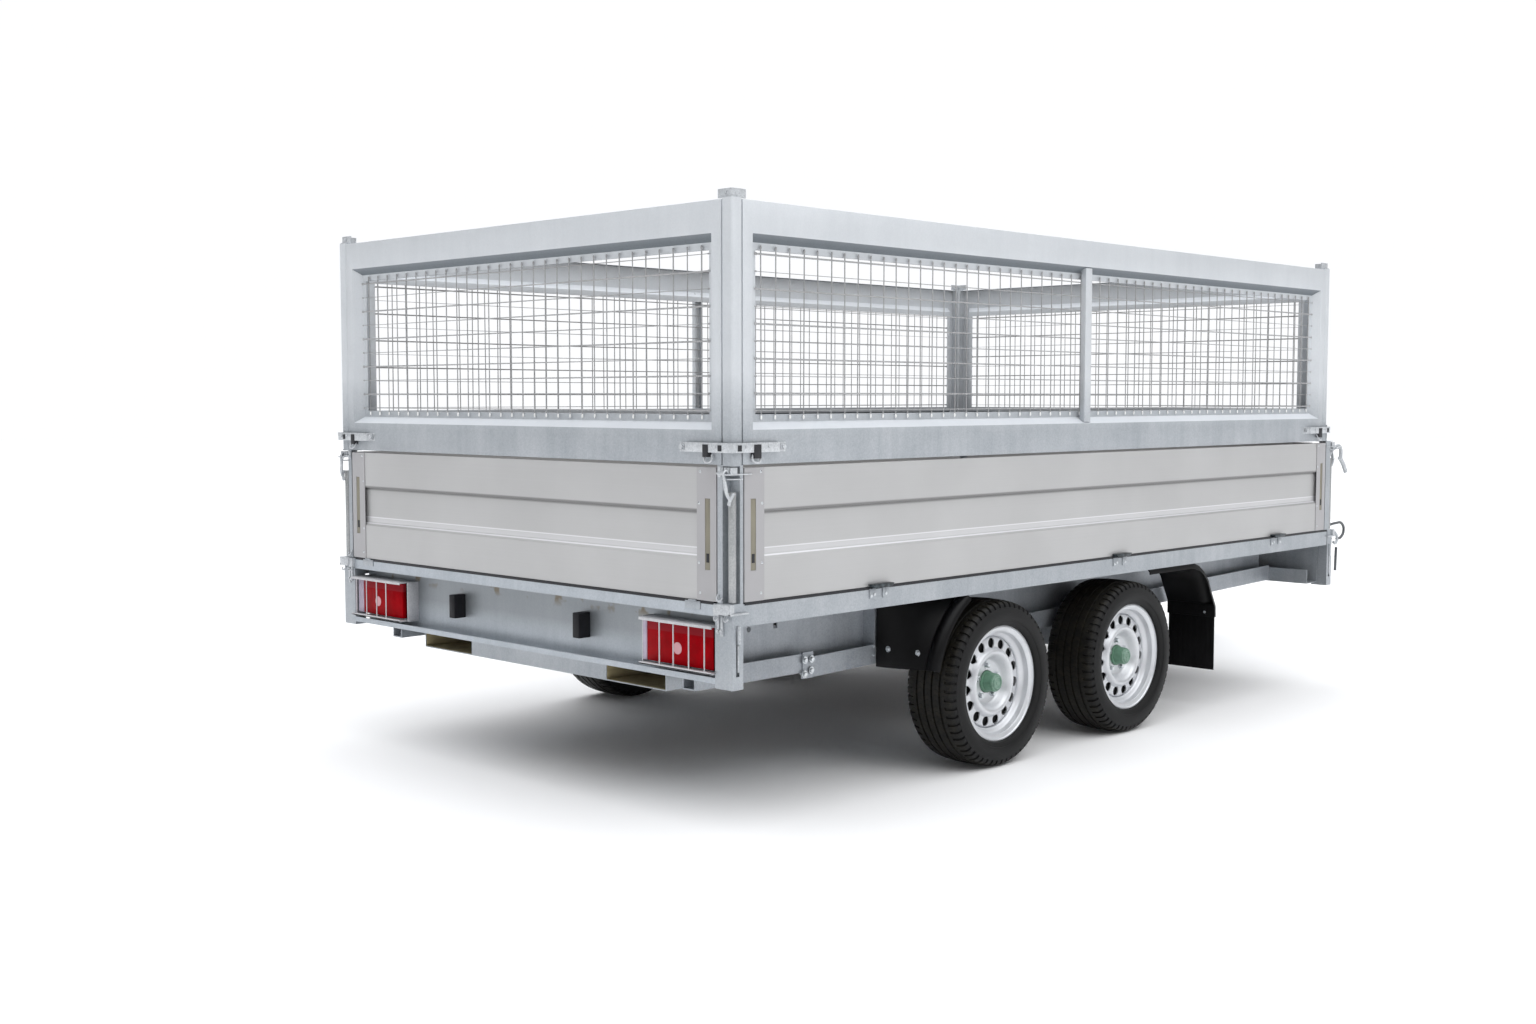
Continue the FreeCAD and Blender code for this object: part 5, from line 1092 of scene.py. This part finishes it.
# Ramp stowage: each channel under the bed is lined with thin birch plywood, laid in loose and brown with
# road dust over its grain, whose figure is 17 mm wide and 170 mm long. A small zinc plug closes the channel's
# carrier at its outer corner.
ramp_low, ramp_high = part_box("ramp_channels")
liner_inner, liner_outer = ramp_high.x - 0.357, ramp_high.x - 0.101
liner_low, liner_high = ramp_low.z + 0.0031, ramp_low.z + 0.0655
liner_board = 0.0014
liner_wood, tree, place = start_material("dusty_birch_plywood")
lengthwise = add_node(tree, "Mapping", {"Vector": place, "Scale": (60.0, 6.0, 60.0)}).outputs["Vector"]
figure = add_node(tree, "TexNoise", {"Vector": lengthwise, "Scale": 1.0, "Detail": 5.0}).outputs["Fac"]
coat(tree, figure, "7C7050", "B9AC86", sockets={"Roughness": 0.7})
liners, plugs = [], []
for side in (1, -1):
    x0, x1 = sorted((side * liner_inner, side * liner_outer))
    y0, y1 = ramp_low.y + 0.002, ramp_high.y - 0.002
    liners += [block((x0 + 0.0002, y0, liner_low), (x1 - 0.0002, y1, liner_low + liner_board), 0.0003),
               block((x0 + 0.0002, y0, liner_low + liner_board), (x0 + 0.0016, y1, liner_high), 0.0003)]
    x0, x1 = sorted((side * (ramp_high.x - 0.004), side * (ramp_high.x - 0.0006)))
    plugs.append(block((x0, ramp_low.y + 0.0032, ramp_high.z - 0.0335),
                       (x1, ramp_low.y + 0.0308, ramp_high.z - 0.0032), 0.0005))
fit(join_pieces(liners), "ramp_liners", liner_wood, "trailer", "deck_wood")
fit(join_pieces(plugs), "ramp_carrier_plugs", zinc, "trailer", "galvanised_steel")

# Tail lamps: red acrylic lenses with a clear reversing strip and a round reflector, clipped onto black
# housings. The prisms moulded behind the gloss, 4 mm apart or 2 mm in the reflector, give an even sparkle.
prism_pitch, reflex_pitch = 0.004, 0.002
lens_low, lens_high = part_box("lamp_lenses")
lens_spans = {1: (0.580, 0.5965, 0.862), -1: (-0.874, -0.842, -0.608)}
reflex_places = {1: 0.723, -1: -0.752}
reflex_radius = 0.0165
reflex_height = lens_low.z + 0.046


def acrylic(name, pale, dark, pitch):
    """Moulded lens plastic with its prism pitch."""
    material, tree, place = start_material(name)
    prisms = add_node(tree, "TexVoronoi", {"Vector": place, "Scale": 1 / pitch,
                                           "Randomness": 0.0}).outputs["Distance"]
    haze = add_node(tree, "TexNoise", {"Vector": place, "Scale": 24.0, "Detail": 2.0}).outputs["Fac"]
    share = add_node(tree, "Math", {0: prisms, 1: 0.5, 2: haze}, operation="MULTIPLY_ADD").outputs[0]
    coat(tree, share, dark, pale, prisms, (0.15, 0.0006), {"Roughness": 0.30, "Specular IOR Level": 0.03})
    return material


red_acrylic = acrylic("red_acrylic", "A80210", "520004", prism_pitch)
# Painted shadow of the lamp's frame: the red lens is painted darker and greyer along its top.
overlay(red_acrylic, level_band(red_acrylic, 0.519, 0.521, 0.560, 0.570, 0.35), "8C4048")
clear_acrylic = acrylic("clear_acrylic_over_chrome", "C6BCCB", "9A8FA2", prism_pitch)
reflex_acrylic = acrylic("red_reflex_prisms", "E0B4BA", "BC747E", reflex_pitch)
reds, clears, dots = [], [], []
for side, (start, split, end) in lens_spans.items():
    reds.append(block((split + 0.0006, lens_low.y + 0.001, lens_low.z), (end, lens_high.y, lens_high.z), 0.004))
    clears.append(block((start, lens_low.y + 0.001, lens_low.z), (split, lens_high.y, lens_high.z), 0.003))
    bpy.ops.object.select_all(action="DESELECT")
    bpy.ops.mesh.primitive_cylinder_add(vertices=40, radius=reflex_radius, depth=0.0020,
                                        location=(reflex_places[side], lens_low.y + 0.0008, reflex_height),
                                        rotation=(math.pi / 2, 0, 0))
    dot = bpy.context.object
    bpy.ops.object.transform_apply()
    apply_modifier(dot, "BEVEL", width=0.0006, segments=2, limit_method="ANGLE", angle_limit=0.5)
    smooth(dot, 40)
    dots.append(dot)
fit(join_pieces(reds), "lamp_lens_red", red_acrylic, "trailer", "lamp_lens", "lamp_lenses")
fit(join_pieces(clears), "lamp_lens_clear", clear_acrylic, "trailer", "lamp_lens")
fit(join_pieces(dots), "lamp_lens_reflex", reflex_acrylic, "trailer", "lamp_lens")

# Lamp guards: galvanised steel strip above and below each lamp, held by an end plate, with four upright
# wires welded in front of the lenses.
guard_low, guard_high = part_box("lamp_guards")
guard_front, guard_foot, guard_head = guard_low.y, guard_low.z, guard_high.z
guard_start, guard_end = 0.575, 0.877
strip_start = guard_start + 0.012
guard_wires = (0.670, 0.726, 0.787, 0.848)
left_guard_shift = -0.006
guard_parts = [block((strip_start, guard_front, guard_head - 0.004), (guard_end, guard_high.y, guard_head), 0.0012),
               block((strip_start, guard_front, guard_head - 0.008),
                     (guard_end, guard_front + 0.003, guard_head - 0.003)),
               block((strip_start, guard_front, guard_foot), (guard_end, guard_front + 0.034, guard_foot + 0.004)),
               block((strip_start, guard_front, guard_foot), (guard_end, guard_front + 0.003, guard_foot + 0.007)),
               block((guard_start, guard_front + 0.024, guard_foot),
                     (guard_start + 0.003, guard_high.y, guard_head))]
for wire_x in guard_wires:
    guard_parts.append(bent_rod([(wire_x, guard_front + 0.003, guard_foot + 0.003),
                                 (wire_x, guard_front + 0.003, guard_head - 0.003)], 0.0021))
guard_zinc = galvanised("lamp_guard_zinc", "D2D2D4", "B4B4B8", 0.3, 0.4)
right_guard = join_pieces(guard_parts)
left_guard = mirror_copy(right_guard, "guard")
left_guard.data.transform(mathutils.Matrix.Translation((left_guard_shift, 0, 0)))
fit(join_pieces([right_guard, left_guard]), "lamp_guards_wired", guard_zinc, "trailer", "galvanised_steel",
    "lamp_guards")

# Lamp housings and number plate lamps: boxes moulded in black plastic, screwed to the rear crossbeam.
# The mould's fine grain scatters the light, and dust settles on it in paler clouds of 60 mm.
housing_outer = 0.8785


def black_plastic(name, pale, dark, rough):
    """Moulded black skin with a 2 mm grain, drawn coarser than the real one to show, and dust on it."""
    material, tree, place = start_material(name)
    grain = add_node(tree, "TexNoise", {"Vector": place, "Scale": 500.0, "Detail": 2.0}).outputs["Fac"]
    dust = add_node(tree, "TexNoise", {"Vector": place, "Scale": 16.0, "Detail": 5.0}).outputs["Fac"]
    share = add_node(tree, "MapRange", {"Value": dust, "From Min": 0.3, "From Max": 0.8}).outputs["Result"]
    coat(tree, share, dark, pale, grain, (0.12, 0.0004), {"Roughness": rough, "Specular IOR Level": 0.18})
    return material


housing_plastic = black_plastic("black_lamp_housing_plastic", "26262A", "141417", 0.45)
plates = [block((x0, lens_high.y - 0.016, 0.460), (x1, guard_high.y - 0.0005, 0.534), 0.003)
          for x0, x1 in ((-0.347, -0.317), (0.270, 0.300))]
fit(join_pieces(plates), "plate_lamps_moulded", housing_plastic, "trailer", "lamp_housing", "plate_lamps")
shells = [block((0.586, lens_high.y - 0.001, lens_low.z - 0.001),
                (housing_outer, guard_high.y - 0.001, lens_high.z + 0.001)),
          block((0.8625, lens_low.y + 0.004, lens_low.z), (housing_outer, lens_high.y, lens_high.z))]
shells += [mirror_copy(shell, "shell") for shell in shells]
fit(join_pieces(shells), "lamp_housings_moulded", housing_plastic, "trailer", "lamp_housing", "lamp_housings")

# Mudguards: black moulded plastic shells with a curled outer lip, bolted to the chassis by two stays.
# The rear one wraps the tyre's back and the front one lies flat and bends down ahead of its tyre.
mudguard_low, mudguard_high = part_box("mudguards")
shell_inner = 0.748
shell_sheet = 0.003
shell_flare = 1.6
lip_profile = [(0.006, 0.006), (0.015, 0.0105), (0.026, 0.0105), (0.036, 0.006), (0.0435, -0.002), (0.045, -0.012)]
flat_columns = 6
wheel_clear = 0.3328
rear_steps = 12
front_top = mudguard_high.z - 0.005
front_end = mudguard_high.y - 0.004
front_bend = 0.150


def mudguard_shell(inner_line, outer_line):
    """Shell between an inner and an outer line of (y, z), with a curled lip along the outer one."""
    rows, columns = len(outer_line), flat_columns + len(lip_profile)
    bpy.ops.object.select_all(action="DESELECT")
    bpy.ops.mesh.primitive_grid_add(x_subdivisions=columns, y_subdivisions=rows - 1, size=1)
    shell = bpy.context.object
    flat_end = mudguard_high.x - lip_profile[-1][0]
    for vertex in shell.data.vertices:
        column = round((vertex.co.x + 0.5) * columns)
        row = round((vertex.co.y + 0.5) * (rows - 1))
        before, after = outer_line[max(row - 1, 0)], outer_line[min(row + 1, rows - 1)]
        y, z = outer_line[row]
        if column <= flat_columns:
            u = column / flat_columns
            flare = u ** shell_flare
            y0, z0 = inner_line[row]
            vertex.co = (shell_inner + (flat_end - shell_inner) * u, y0 + (y - y0) * flare, z0 + (z - z0) * flare)
        else:
            run, rise = lip_profile[column - flat_columns - 1]
            rise /= math.hypot(after[0] - before[0], after[1] - before[1])
            vertex.co = (flat_end + run, y + (before[1] - after[1]) * rise, z + (after[0] - before[0]) * rise)
    apply_modifier(shell, "SOLIDIFY", thickness=shell_sheet, offset=0.0)
    smooth(shell, 50)
    return shell


rear_arc, rear_wall = [], []
for i in range(rear_steps + 1):
    turn = math.radians(167.0 - 47.0 * i / rear_steps)
    rear_arc.append((wheel_y + wheel_clear * math.cos(turn), tyre_radius + wheel_clear * math.sin(turn)))
    rear_wall.append((mudguard_low.y + 0.003,
                      mudguard_low.z + (mudguard_high.z - 0.003 - mudguard_low.z) * i / rear_steps))
bend_y = front_end - 0.030 - front_bend
front_line = [(wheel_y + axle_gap + 0.115, front_top), (bend_y, front_top)]
for degrees in (80, 65, 50, 35, 20):
    turn = math.radians(degrees)
    front_line.append((bend_y + front_bend * math.cos(turn), front_top - front_bend + front_bend * math.sin(turn)))
front_line += [(front_end - 0.002, 0.386), (front_end, 0.346)]
guard_shells = [mudguard_shell(rear_wall, rear_arc), mudguard_shell(front_line, front_line)]
guard_shells += [mirror_copy(shell, "shell") for shell in guard_shells]
guard_plastic = black_plastic("black_mudguard_plastic", "0D0D0F", "050506", 0.38)
fit(join_pieces(guard_shells), "mudguard_shells", guard_plastic, "trailer", "black_plastic", "mudguards")

# Chassis bolts: zinc plated hexagon bolts that hold the mudguards and their stays to the chassis, and
# join its beams to their tail ends. The larger ones stand on washers.
mudguard_bolt, lip_bolt = (0.0065, 0.004, 0.0015), (0.0055, 0.003)
splice_bolt, stay_bolt = (0.0075, 0.005, 0.0015), (0.0045, 0.003)
splice_places = ((-1.9376, 0.3933), (-1.9092, 0.3934), (-1.9105, 0.3608), (-1.9389, 0.352))
chassis_bolts = [hex_bolt((0.7895, -1.6128, 0.3943), rearward, *mudguard_bolt),
                 hex_bolt((0.8748, -1.5756, 0.3871), rearward, *mudguard_bolt),
                 hex_bolt((0.906, front_end - 0.010, 0.3609), rearward, *lip_bolt)]
chassis_bolts += [hex_bolt((0.7482, y, z), outward, *splice_bolt) for y, z in splice_places]
chassis_bolts += [hex_bolt((0.742, -1.6235, z), rearward, *stay_bolt) for z in (0.372, 0.400, 0.528)]
chassis_bolts = join_pieces(chassis_bolts)
fit(both_sides(chassis_bolts), "chassis_bolts", bright_zinc, "trailer", "galvanised_steel")

# Mud flaps: black rubber sheets with nine upright ribs pressed into them, which hang behind the rear tyres.
# A thick clamping strip holds each to the tail of its mudguard.
flap_low, flap_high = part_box("mud_flaps")
flap_inner = 0.753
rib_count = 9
rib_half = 0.003
flap_parts = []
for side in (1, -1):
    x0, x1 = sorted((side * flap_inner, side * flap_high.x))
    flap_parts.append(block((x0, flap_low.y + 0.0012, flap_low.z), (x1, flap_high.y - 0.0012, flap_high.z), 0.001))
    for i in range(rib_count):
        rib_x = x0 + (x1 - x0) * (i + 0.5) / rib_count
        flap_parts.append(block((rib_x - rib_half, flap_low.y, flap_low.z + 0.008),
                                (rib_x + rib_half, flap_high.y, flap_high.z - 0.040), 0.001))
    flap_parts.append(block((x0 - 0.004, flap_low.y - 0.004, flap_high.z - 0.038),
                            (x1 + 0.004, flap_low.y + 0.002, flap_high.z + 0.010), 0.0018))
flap_rubber = black_plastic("black_flap_rubber", "0B0B0D", "030304", 0.6)
fit(join_pieces(flap_parts), "mud_flaps_ribbed", flap_rubber, "trailer", "black_plastic", "mud_flaps")

# Drawbar gear: the overrun unit and the coupling are cast and welded steel under black enamel, which shows a
# soft gloss. The jockey wheel is a solid rubber tread on a plastic hub, dull and grey with dust.
black_enamel = black_plastic("black_enamel_on_cast_steel", "2B2C2F", "17181A", 0.32)
dress(["overrun_unit", "coupling_head"], black_enamel)
jockey_rubber = black_plastic("black_jockey_wheel_rubber", "2A2A2C", "1A1A1C", 0.6)
dress(["jockey_wheel"], jockey_rubber)
